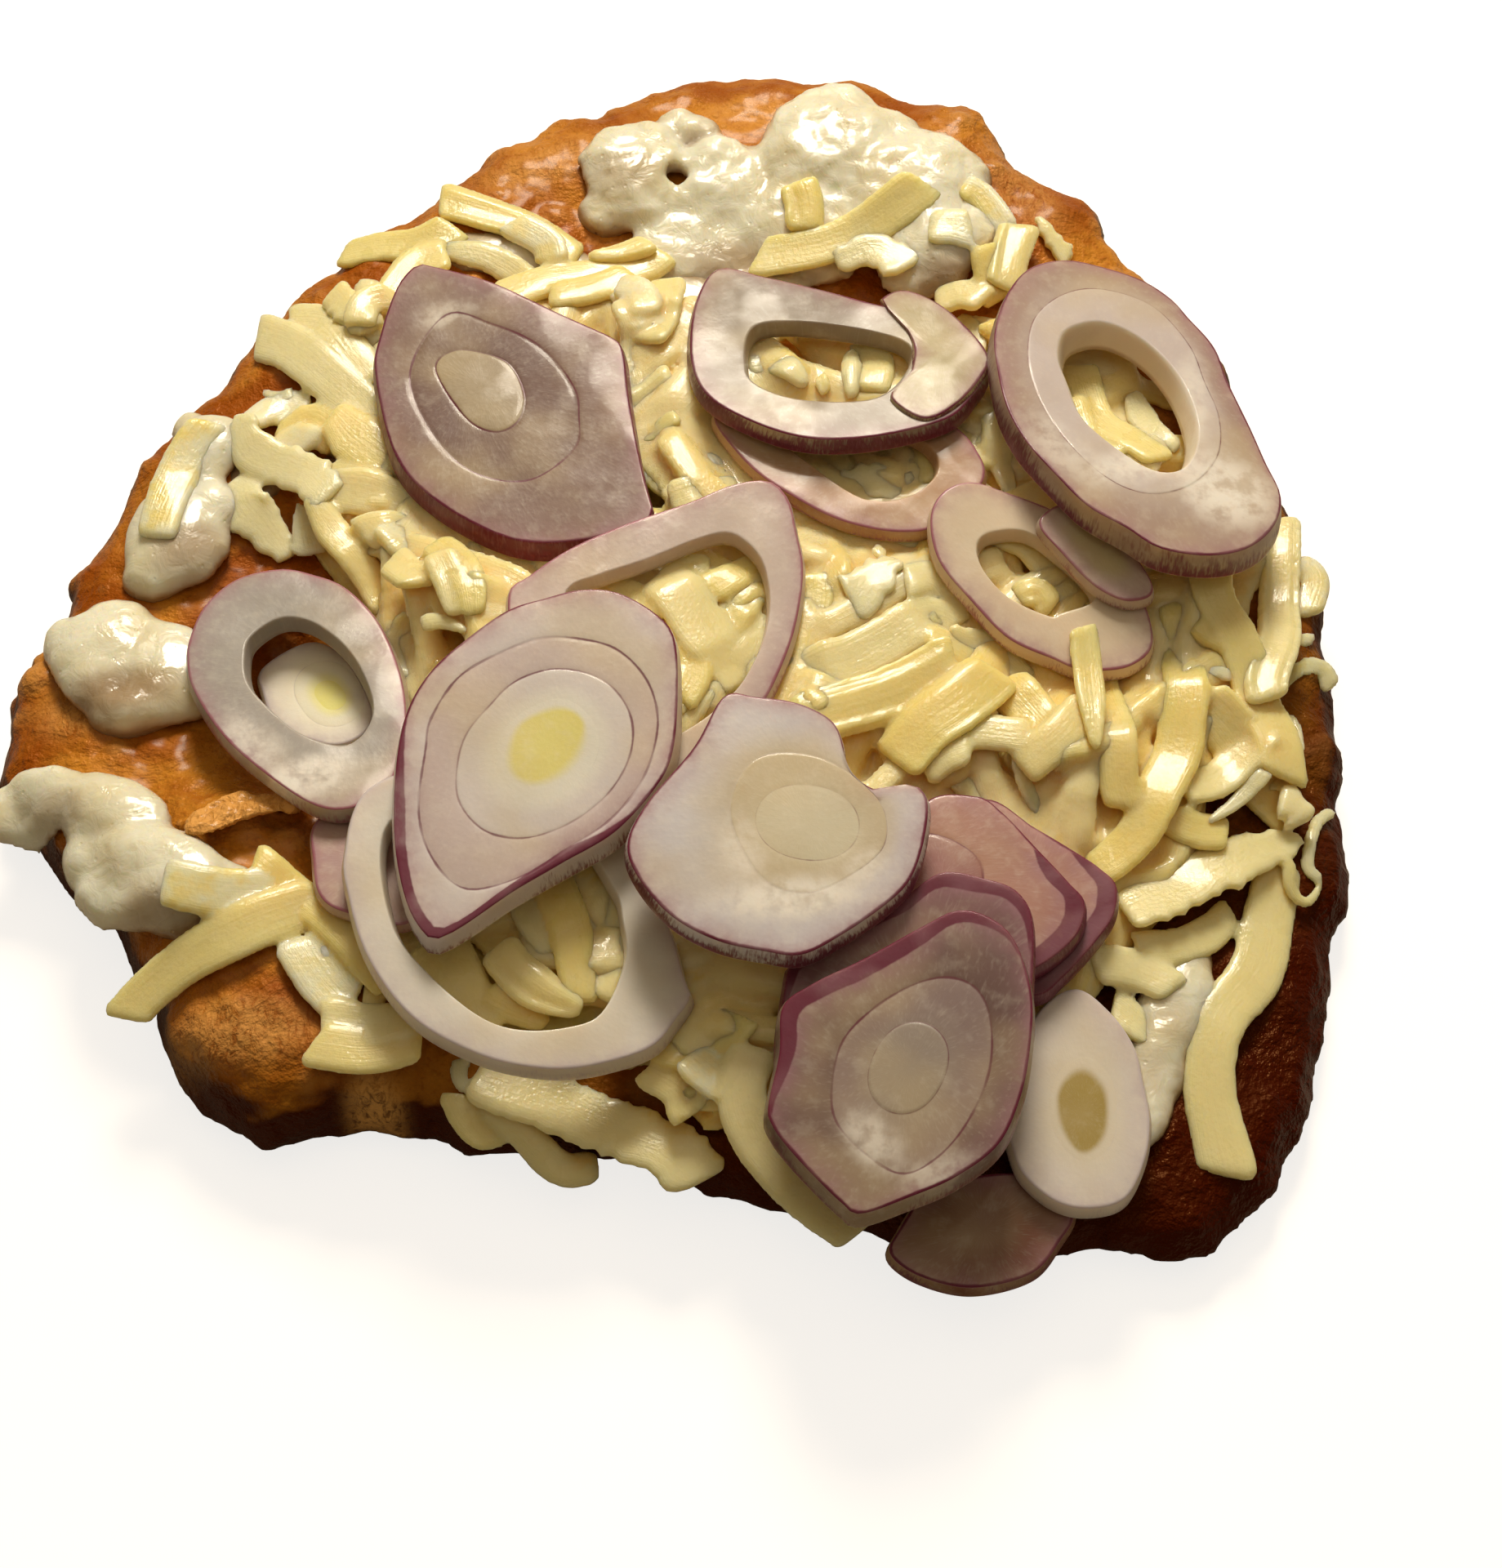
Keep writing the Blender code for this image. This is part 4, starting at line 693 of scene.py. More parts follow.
def make_crust(settings):
    """The bread's solid with lumps, folds, grain and blisters, darker on its walls and at the front right,
    partly browner frying and partly painted shade.
    """
    crust = copy_of_node("bread", CRUST_NAME)
    voxel_skin(crust, CRUST_VOXEL, 9)
    points = points_of(crust.data)
    upper = smooth_step((points[:, 2] - PLAIN_FOOT) / RELIEF_RISE)
    group = crust.vertex_groups.new(name="upper")
    for level in range(1, 11):
        picked = np.flatnonzero(np.ceil(upper * 10) == level)
        group.add(picked.tolist(), level / 10, "REPLACE")
    roughen(crust, CRUST_RELIEF, group.name)
    apply_modifiers(crust)
    points = points_of(crust.data)
    normals = normals_of(crust.data)
    raised = np.zeros(len(points))
    for x, y, size, height in blister_spots(settings.blister_count, 4):
        far = np.hypot(points[:, 0] - x, points[:, 1] - y)
        near = far < size
        raised[near] = np.maximum(raised[near], height * (1 - (far[near] / size) ** 2) ** 1.5)
    raised *= upper * np.clip(normals[:, 2] + 0.35, 0, 1)
    points = points + normals * raised[:, None]
    low, high = (np.array(corner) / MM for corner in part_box("bread"))
    points = np.clip(points, low, high)
    set_points(crust.data, points)
    # Painted shade mixed with browning: darker on the walls, towards the front and towards the right
    browned = WALLS_BROWN_AND_SHADE * (1 - smooth_step((normals[:, 2] - 0.05) / 0.75))
    browned += SIDE_BROWN_AND_SHADE * np.clip(points[:, :2] @ DARK_WAY / DARK_REACH, 0, 1)
    browned += FRONT_BROWN_AND_SHADE * np.clip(-points[:, 1] / FRONT_REACH, 0, 1)
    set_attribute(crust.data, "browned", np.clip(browned, 0, 1))
    set_attribute(crust.data, "blister", np.clip(raised / 0.55, 0, 1))
    # Torn fibres only on upward faces: partly real torn dough, partly painted light on the lit tops
    facing_up = np.clip(normals[:, 2] * 1.6 + 0.5, 0, 1)
    set_attribute(crust.data, "torn", spot_share(points, TORN_AND_LIT_SPOTS) * facing_up)
    material = crust_material(settings)
    dress(crust, "bread", material, "bread")
    make_flake(material)


# Sour cream: extra mounds of x, y, radius along the slant, radius across, slant in degrees, height

CREAM_LOBES = {
    "cream_top": (
        (-12, 74, 6, 5, 20, 3.4),
        (1, 90, 6, 4, -20, 3.2),
        (26, 93, 7, 6, 10, 4.6),
        (33, 88, 8, 6, -20, 4.6),
        (45, 78, 6, 7, -30, 3.8),
        (12, 82, 7, 5, 0, 3.0),
        (48, 68, 5, 6, 0, 3.4),
        (12, 58, 9, 5, 10, 2.8),
    ),
    "cream_left_upper": ((-77, 30, 3.5, 4, 0, 3.0), (-80, 2, 5, 4, 10, 3.8), (-72, 14, 5, 5, 0, 4.0)),
    "cream_left_mid": ((-92, -10, 3.5, 5, 0, 3.6), (-80, -22, 7, 4, 10, 4.2), (-84, -6, 6, 3.5, -10, 4.0)),
    "cream_left_low": ((-98, -37.5, 4, 4.5, 0, 2.6), (-83, -47, 5, 5, 0, 4.6), (-70, -56, 6, 4, -20, 3.8)),
    "cream_right_low": ((73, -62, 4, 6, -20, 3.4), (68, -78, 4, 6, -10, 3.2)),
}
CREAM_SMEARS = (
    (-31, 65, 11, 4.5, -5, 2.6),
    (-21, 63, 9, 5, -20, 2.6),
    (-11, 57, 7, 6, -40, 3.0),
    (-12, 49, 4, 4, 0, 2.4),
    (-5, 47, 6, 8, 15, 4.5),
    (1, 56, 7, 6, 0, 3.5),
    (-66, 22, 5, 6, 0, 2.2),
    (-52, 24, 6, 6, 0, 2.2),
    (0, 38, 3.5, 6, 0, 4.5),
    (-1, 21, 6, 4, 10, 5.5),
    (7, 16, 5, 4, -30, 6.0),
    (9, -79, 4, 8, 20, 3.2),
    (-48, -63, 3, 5, 20, 3.0),
    (-46, -69, 3, 3, 0, 2.6),
)

# Painted shade: spots where the cream is darkened towards its brownish edge colour, standing in for shade
CREAM_SHADE_SPOTS = (
    (-10, 78, 6, 4, 0, 0.45),
    (9, 63, 9, 4, 0, 0.6),
    (44, 56.5, 7, 4.5, 0, 0.85),
    (-74, 5, 6, 4, 30, 0.75),
    (-82, -20.5, 9, 4, 10, 0.9),
    (-89, -40, 5, 3.5, 0, 0.4),
    (-72, -58, 6, 4, -20, 0.55),
    (70, -71, 4, 4, 0, 0.3),
    (65, -79, 4, 5, 0, 0.35),
)
CREAM_PREFIX = "sour_"
CREAM_VOXEL = 0.75
FINE_FOLDS = (("folds", 5.5, 1.5), ("wrinkles", 2.2, 0.95))
BROAD_FOLDS = (("folds", 9.0, 1.1), ("wrinkles", 3.6, 0.55))

# Cream beyond the crust's edge lies no lower than this
RIM_HEIGHT = 11.5
THIN_CREAM = 3.2


def ground_under_cream():
    """The heights of the crust."""
    ground = Relief()
    ground.add_mesh(bpy.data.objects[CRUST_NAME].data)
    return ground


def cream_lobe(relief, row, sink=0.3):
    """One flattened ball of cream resting on what is below it."""
    x, y, along, across, slant, height = row
    x, y = np.array([x, y]) + CENTRING
    base = max(float(relief.read(x, y)), RIM_HEIGHT) - sink
    deselect()
    bpy.ops.mesh.primitive_uv_sphere_add(segments=28, ring_count=16, radius=1.0)
    lobe = bpy.context.active_object
    size = Matrix.Diagonal((along * MM, across * MM, height * MM, 1))
    turn = Matrix.Rotation(math.radians(slant), 4, "Z")
    lobe.data.transform(Matrix.Translation((x * MM, y * MM, base * MM)) @ turn @ size)
    return lobe


def ripple_cream(cream, relief):
    roughen(cream, relief)
    add_smoothing(cream, 2)
    apply_modifiers(cream)


def mark_thin_and_shade(cream, relief):
    """At each point, how little cream lies over what is below, plus painted shade on its steep sides and in
    the shade spots.
    """
    points, normals = points_of(cream.data), normals_of(cream.data)
    rise = points[:, 2] - relief.read(points[:, 0], points[:, 1])
    # Steep sides darker: partly thinner, oily cream, partly painted shade
    steep = smooth_step((0.7 - normals[:, 2]) / 0.7)
    thin = 1 - smooth_step(rise / THIN_CREAM) + 0.45 * steep + spot_share(points, CREAM_SHADE_SPOTS)
    set_attribute(cream.data, "thin", np.clip(thin, 0, 1))


def make_cream(settings, relief):
    """Each solid patch of cream with its mounds, then the smears between them."""
    material = cream_material(settings)
    for node, rows in CREAM_LOBES.items():
        cream = copy_of_node(node, CREAM_PREFIX + node)
        join_pieces(cream, [cream_lobe(relief, row) for row in rows])
        voxel_skin(cream, CREAM_VOXEL, 7)
        ripple_cream(cream, FINE_FOLDS if node == "cream_top" else BROAD_FOLDS)
        mark_thin_and_shade(cream, relief)
        dress(cream, "cream", material, node)
        relief.add_mesh(cream.data)
    lobes = [cream_lobe(relief, row, 0.8) for row in CREAM_SMEARS]
    smears = join_pieces(lobes[0], lobes[1:])
    smears.name = CREAM_PREFIX + "cream_smears"
    voxel_skin(smears, CREAM_VOXEL, 5)
    ripple_cream(smears, BROAD_FOLDS)
    mark_thin_and_shade(smears, relief)
    dress(smears, "cream", material)


# Grated cheese

# The heap's middle, and its reach from there in mm every 10 degrees
CORE_X, CORE_Y = 12.0, -12.0
CORE_RADII = (
    83, 84, 86, 88, 89, 89, 81, 72, 69, 68, 70, 78, 92, 97, 95, 88, 75, 63,
    59, 58, 61, 73, 82, 86, 84, 79, 77, 78, 82, 84, 82, 76, 72, 77, 79, 79,
)

# The dome under the shreds: its share of that reach, its height in mm and how finely it is divided
CORE_SHARE = 0.9
CORE_RISE = 6.8
CORE_SEGMENTS = 120
CORE_RINGS = 24
CORE_SHELL = 0.5
CORE_STRAND = (0, 0, 0, 0.15, 0)

# A shred's thickness in mm, its width against the table's, and the size of the skin's voxels for each layer
SHRED_THICK = 2.1
SHRED_WIDER = 1.2
BURIED_VOXEL = 0.86
SOFT_VOXEL = 0.535
CRISP_VOXEL = 0.45

# Distance in mm between the places where a shred's height is worked out, and how steeply it bends
SHRED_STEP = 1.2
STEEPEST = 0.45

# Reach in mm and width at the tip, each between two values, of blunt and of pointed ends
BLUNT_END = ((0.5, 1.6), (0.65, 0.9))
POINTED_END = ((5, 10), (0.2, 0.5))
POINTED_SHARE = 0.25

# Buried shreds are as long as this in the middle of the heap and this much shorter at its edge
BURIED_LENGTHS = (26, 56)
SHORTER_OUTSIDE = 0.35
BURIED_WIDTHS = (4.0, 6.4)

# The depth in mm where painted crevice shade starts to make the cheese deeper yellow, and how much deeper it
# is wholly so
CREVICE_SHADE_START, CREVICE_SHADE_REACH = 0.3, 2.6

# Into how many sides and how long rings in mm a shred is divided
RIDGED_SIDES, PLAIN_SIDES, BURIED_SIDES = 22, 14, 10
RING_STEP, BURIED_RING_STEP = 0.9, 1.8

# The shreds that show: the points of each one's middle line, its width, and its kind where it isn't plain
SHREDS = (
    ((88, -46), (86, -53), (83, -63), (77, -71), (75, -80), (76, -88), (77, -93), 6.5),
    ((59, -64), (65, -64), (71, -67), 5),
    ((62, -69), (65, -72), (67, -75), 5),
    ((66, -61), (72, -60), (77, -57), (80, -53), 5),
    ((71, -41), (75, -43), (80, -43), 5),
    ((77, -23), (82, -28), (86, -34), (90, -38), 7),
    ((90, -21), (91, -25), (90, -31), (89, -35), 4, "film"),
    ((73, -37), (79, -35), (87, -27), 5),
    ((48, -20), (52, -26), (55, -31), 6),
    ((61, -25), (56, -31), (50, -36), 5.5),
    ((61, -6), (62, -14), (63, -22), (64, -29), (64, -37), (65, -41), 4.8),
    ((77, -11), (80, -13), (82, -14), 3),
    ((78, -18), (82, -19), 3, "film"),
    ((95, 7), (98, 4), (96, -3), 4.5, "coated"),
    ((93, -8), (97, -7), 2, "film"),
    ((89, -18), (92, -14), (95, -12), (98, -12), (99, -15), 2.8, "film"),
    ((80, 3), (80, -6), (83, -12), (85, -18), (86, -23), (88, -28), (89, -35), 6),
    ((93, 13), (92, 3), (91, -5), (90, -11), (87, -19), (87, -23), 5.5, "ridged"),
    (
        (73, -2), (75, -7), (75, -14), (75, -21), (74, -27), (73, -32), (70, -38), (67, -44), (63, -48),
        (60, -50), 5.8,
    ),
    ((64, -56), (70, -53), (77, -49), (85, -45), (91, -42), 6.8, "torn"),
    ((77, -42), (81, -39), (86, -34), 2.2, "film"),
    ((89, -46), (89, -50), (91, -52), (93, -50), (94, -48), 1.8, "film"),
    ((94, -48), (92, -46), (94, -39), (97, -36), 1.6, "film"),
    ((88, -37), (90, -39), (91, -41), 4.5, "torn"),
    ((39, -31), (44, -30), (51, -31), 5),
    ((34, -5), (38, -3), (41, -5), (42, -9), 5),
    ((33, -1), (29, -5), (26, -9), 6.5, "torn"),
    ((21, -3), (21, -8), (20, -14), 5, "ridged"),
    ((17, -9), (18, -14), (19, -18), 5),
    ((37, -15), (41, -16), (45, -18), 5),
    ((41, -34), (44, -37), (48, -41), 6),
    ((36, -36), (39, -34), (43, -33), 5),
    ((16, -21), (24, -19), (31, -15), (37, -11), (41, -12), 7),
    ((19, -29), (27, -26), (34, -23), (41, -19), 7.5, "ridged"),
    ((41, -15), (47, -15), (52, -19), 5, "torn"),
    ((32, -35), (36, -30), (41, -26), (47, -20), 7.5, "ridged"),
    ((49, -32), (50, -36), (52, -40), (54, -43), 2.6, "film"),
    ((30, 0), (31, 2), 2, "film"),
    ((47, 4), (53, 3), (57, -2), (59, -6), 4.5),
    ((51, -6), (54, -5), (56, -8), 4, "ridged"),
    ((-18, -7), (-10, -6), (-2, -12), 5),
    ((5, -1), (1, -4), (-2, -9), 5),
    ((5, -7), (9, -4), (12, 0), 4.5),
    ((8, -13), (11, -8), (14, -4), 4),
    ((0, -31), (3, -26), (5, -23), 4, "ridged"),
    ((1, -16), (3, -21), (1, -26), 5),
    ((-2, -4), (3, -12), (7, -18), (9, -23), 7.2),
    ((13, -10), (12, -16), (9, -20), 5),
    ((10, 37), (15, 37), (20, 32), 4.5),
    ((22, 34), (23, 31), 3, "ridged"),
    ((27, 40), (27, 35), (27, 30), 5, "ridged"),
    ((15, 31), (22, 29), (28, 29), 5),
    ((29, 42), (31, 37), (30, 31), 5),
    ((19, 23), (22, 20), (26, 16), 5),
    ((26, 21), (31, 19), (36, 22), 5),
    ((24, 14), (30, 15), (35, 14), 5, "torn"),
    ((36, 24), (38, 20), (38, 15), 4.5),
    ((63, 39), (65, 28), (70, 22), (74, 18), 5),
    ((71, 34), (73, 26), (77, 21), 4, "film"),
    ((61, 31), (63, 22), (68, 18), 4.5),
    ((43, 28), (45, 24), (47, 18), 5),
    ((49, 36), (49, 27), (50, 18), (51, 13), 3.5),
    ((45, 21), (49, 20), 3.5),
    ((44, 48), (46, 51), (48, 46), (48, 43), 2.2, "film"),
    ((-9, 53), (-7, 49), (-5, 43), 5, "coated"),
    ((-2, 55), (-3, 46), (-5, 40), 5.5),
    ((-8, 39), (-7, 32), (-7, 28), 5),
    ((-8, 29), (-5, 31), (-1, 34), 5, "ridged"),
    ((-6, 23), (-3, 24), (0, 26), 3),
    ((3, 30), (4, 24), (8, 18), 6, "coated"),
    ((-5, 18), (-1, 15), (5, 12), 6, "coated"),
    ((-1, 10), (5, 12), (10, 14), 5),
    ((4, 33), (7, 26), (12, 20), 5),
    ((16, 13), (22, 10), (27, 8), 6),
    ((32, 7), (36, 6), (38, 6), 5),
    ((-56, 65), (-49, 66), (-43, 66), (-37, 69), 5.5),
    ((-40, 75), (-32, 72), (-25, 69), (-17, 63), 6, "ridged"),
    ((-49, 48), (-46, 55), (-43, 61), (-38, 63), 5.5),
    ((-52, 51), (-50, 47), (-48, 45), 4, "torn"),
    ((-28, 69), (-22, 65), (-21, 61), 5, "coated"),
    ((-30, 53), (-22, 57), (-14, 59), (-7, 61), (-3, 64), 6),
    ((-15, 62), (-10, 63), (-5, 65), 4.2, "ridged"),
    ((-21, 52), (-13, 54), (-8, 57), 5),
    ((-8, 48), (-6, 42), (-7, 35), 5.5),
    ((-10, 52), (-6, 50), (-5, 45), 4.5, "coated"),
    ((-69, 27), (-66, 31), (-62, 34), (-58, 33), 4.5, "coated"),
    ((-66, 36), (-63, 35), (-61, 36), 2.6, "film"),
    ((-63, 51), (-57, 49), (-52, 42), (-48, 37), 5.8),
    ((-68, 48), (-62, 44), (-55, 37), (-50, 32), (-47, 26), 7),
    ((-56, 55), (-53, 50), (-49, 46), 4.5, "torn"),
    ((-46, 53), (-50, 51), (-51, 46), 4.5),
    ((-63, 26), (-60, 29), (-57, 30), (-53, 25), 5),
    ((-63, 24), (-59, 26), (-57, 28), 4.5, "coated"),
    ((-54, 30), (-50, 25), (-44, 20), 7.5),
    ((-55, 17), (-49, 16), (-44, 15), 7),
    ((-56, 16), (-47, 14), (-37, 12), 6.5),
    ((-48, 6), (-42, 7), (-37, 8), 5.5),
    ((-65, 18), (-67, 15), (-63, 10), (-60, 6), 6.5, "torn"),
    ((-58, 14), (-57, 9), (-56, 6), 5, "film"),
    ((-68, 30), (-67, 24), (-62, 21), (-57, 18), (-53, 13), 6.5, "torn"),
    ((-56, 13), (-52, 7), (-47, 1), (-44, -4), 4.5),
    ((-73, 28), (-76, 22), (-78, 14), (-79, 6), 5.5, "coated"),
    ((-44, 3), (-41, 5), (-38, 6), 6, "coated"),
    ((-32, 7), (-31, 3), (-28, -1), 3.2),
    ((-16, 4), (-23, 2), (-25, -7), 8),
    ((-29, 5), (-27, 0), (-26, -7), 5),
    ((-36, 1), (-33, -2), (-30, -7), (-29, -13), 5),
    ((-35, -2), (-33, -7), (-32, -13), 4.5),
    ((-35, -7), (-39, -8), (-41, -12), (-39, -18), 5.2),
    ((-37, -13), (-34, -13), (-30, -15), 2.4, "film"),
    ((-42, -1), (-40, -4), (-37, -7), 5),
    ((-71, -54), (-64, -55), (-56, -54), 6, "coated"),
    ((-52, -61), (-48, -67), (-44, -71), 6.5, "coated"),
    ((-48, -73), (-41, -74), (-36, -73), 5.5),
    ((-49, -77), (-41, -78), (-34, -76), 6),
    ((-76.5, -71), (-73, -67.5), (-67.5, -64), (-61, -61), (-55.5, -58), (-50, -55), 6.2),
    ((-59, -49), (-54, -53), (-49, -57), (-44, -62), (-39, -68), 4.8),
    ((-33, -62), (-30, -68), (-28, -74), 8),
    ((-25, -69), (-21, -71), (-17, -73), 5),
    ((-20, -55), (-19, -58), (-16, -63), 5),
    ((-17, -52), (-14, -60), (-13, -66), (-12, -71), 5),
    ((-11, -50), (-9, -57), (-8, -63), (-10, -70), 6.2, "ridged"),
    ((-24, -63), (-21, -67), (-17, -70), (-12, -72), 5.5, "ridged"),
    ((-3, -77), (3, -77), (9, -73), 7.5),
    ((-29, -77), (-29, -80), (-28, -82), 3.6, "film"),
    ((-29, -82), (-27, -86), (-24, -89), 5),
    ((-25, -83), (-20, -87), (-15, -91), (-10, -90), 4),
    ((-3, -80), (2, -83), (3, -87), 5.5),
    ((3, -79), (7, -82), (11, -83), 6, "coated"),
    ((-27, -80), (-16, -83), (-7, -87), (0, -90), (5, -94), 7.5, "torn"),
    ((12, -78), (10, -84), (12, -90), (18, -96), (26, -101), 6),
    ((46, 75), (49, 73), (53, 66), 4, "coated"),
    ((40, 65), (44, 65), (47, 64), 6, "coated"),
    ((49, 62), (50, 57), (51, 53), 5),
    ((55, 67), (53, 60), (52, 54), 5.8, "ridged"),
    ((58, 70), (60, 67), (63, 62), 3.2, "torn"),
    ((19, 76), (20, 72), (20, 67), 5.5, "ridged"),
    ((12, 63), (22, 64), (31, 68), (40, 74), 6.5),
    ((25, 61), (31, 63), (37, 59), 6, "torn"),
    ((41, 53), (45, 54), (49, 52), 5),
)

# The shred that lies over the right onion ring
OVER_SHRED = ((60, -13), (60.3, -21), (60.5, -27.5), (60.5, -34))
OVER_WIDTH, OVER_THICK = 4.6, 1.7

# Places in the heap's outline where the crust shows bare: x, y, radius
BARE_SPOTS = ((-63, -32, 16), (-60, -72, 10), (-44, -10, 6), (-46, -84, 10), (-70, 4, 8), (-22, -92, 8))


def heap_share(x, y):
    """0 at the middle of the heap, 1 at its edge."""
    angle = np.arctan2(np.asarray(y) - CORE_Y, np.asarray(x) - CORE_X)
    return np.hypot(np.asarray(x) - CORE_X, np.asarray(y) - CORE_Y) / around(CORE_RADII, angle)


def set_strand_values(mesh, values):
    """Stores where on its shred each point is, how pale the shred is and how much cream is on it."""
    set_attribute(mesh, "strand", values[:, :3])
    set_attribute(mesh, "shade", values[:, 3])
    set_attribute(mesh, "coat", values[:, 4])


def make_heap_core(relief, material):
    """A low dome of cheese under the shreds, down to the crust at its edge."""
    deselect()
    bpy.ops.mesh.primitive_circle_add(vertices=CORE_SEGMENTS, radius=1.0, fill_type="NOTHING")
    core = bpy.context.active_object
    core.name = "cheese_core"
    bpy.ops.object.mode_set(mode="EDIT")
    bpy.ops.mesh.select_all(action="SELECT")
    for _ in range(CORE_RINGS):
        bpy.ops.mesh.extrude_edges_move(TRANSFORM_OT_translate={"value": (0, 0, 0)})
    bpy.ops.mesh.edge_face_add()
    bpy.ops.object.mode_set(mode="OBJECT")
    order = np.arange(len(core.data.vertices))
    ring, k = order // CORE_SEGMENTS, order % CORE_SEGMENTS
    angle = 2 * math.pi * k / CORE_SEGMENTS
    share = CORE_SHARE * (1 - ring / (CORE_RINGS + 0.6))
    radius = around(CORE_RADII, angle) * share
    x = CORE_X + radius * np.cos(angle) + CENTRING[0]
    y = CORE_Y + radius * np.sin(angle) + CENTRING[1]
    rise = CORE_RISE * np.clip(1 - (share / CORE_SHARE) ** 2.4, 0, 1) ** 0.8
    rise += 0.7 * np.sin(x / 5.0 + 1.3) * np.sin(y / 4.0) * np.clip(rise, 0, 1)
    set_points(core.data, np.stack([x, y, relief.read(x, y) - 0.6 + rise], axis=1))
    add_smoothing(core, 3)
    core.modifiers.new("base", "SOLIDIFY").thickness = CORE_SHELL * MM
    apply_modifiers(core)
    set_strand_values(core.data, np.tile(CORE_STRAND, (len(core.data.vertices), 1)))
    relief.add_mesh(core.data)
    return dress(core, "cheese", material, "cheese_heap")


def smooth_path(points, step):
    """Evenly spaced points of a smooth curve through the given ones."""
    p = np.array([2 * np.array(points[0]) - points[1], *points, 2 * np.array(points[-1]) - points[-2]], float)
    share = np.linspace(0, 1, 14, endpoint=False)[:, None]
    fine = np.concatenate([between(*p[k : k + 4], share) for k in range(len(p) - 3)] + [p[-2:-1]])
    along = np.r_[0, np.cumsum(np.hypot(*np.diff(fine, axis=0).T))]
    at = np.linspace(0, along[-1], max(4, round(along[-1] / step) + 1))
    return np.stack([np.interp(at, along, fine[:, 0]), np.interp(at, along, fine[:, 1])], axis=1)


def limit_slope(heights, step, pick):
    """Keeps the rise from point to point gentle by raising low points (max) or lowering high ones (min)."""
    drop = -STEEPEST * step if pick is np.maximum else STEEPEST * step
    out = heights.copy()
    for k in range(1, len(out)):
        out[k] = pick(out[k], out[k - 1] + drop)
    for k in range(len(out) - 2, -1, -1):
        out[k] = pick(out[k], out[k + 1] + drop)
    return out


def blur(values, width):
    reach = np.arange(-3 * width, 3 * width + 1)
    weights = np.exp(-0.5 * (reach / width) ** 2)
    padded = np.pad(values, 3 * width, mode="edge")
    return np.convolve(padded, weights / weights.sum(), mode="valid")


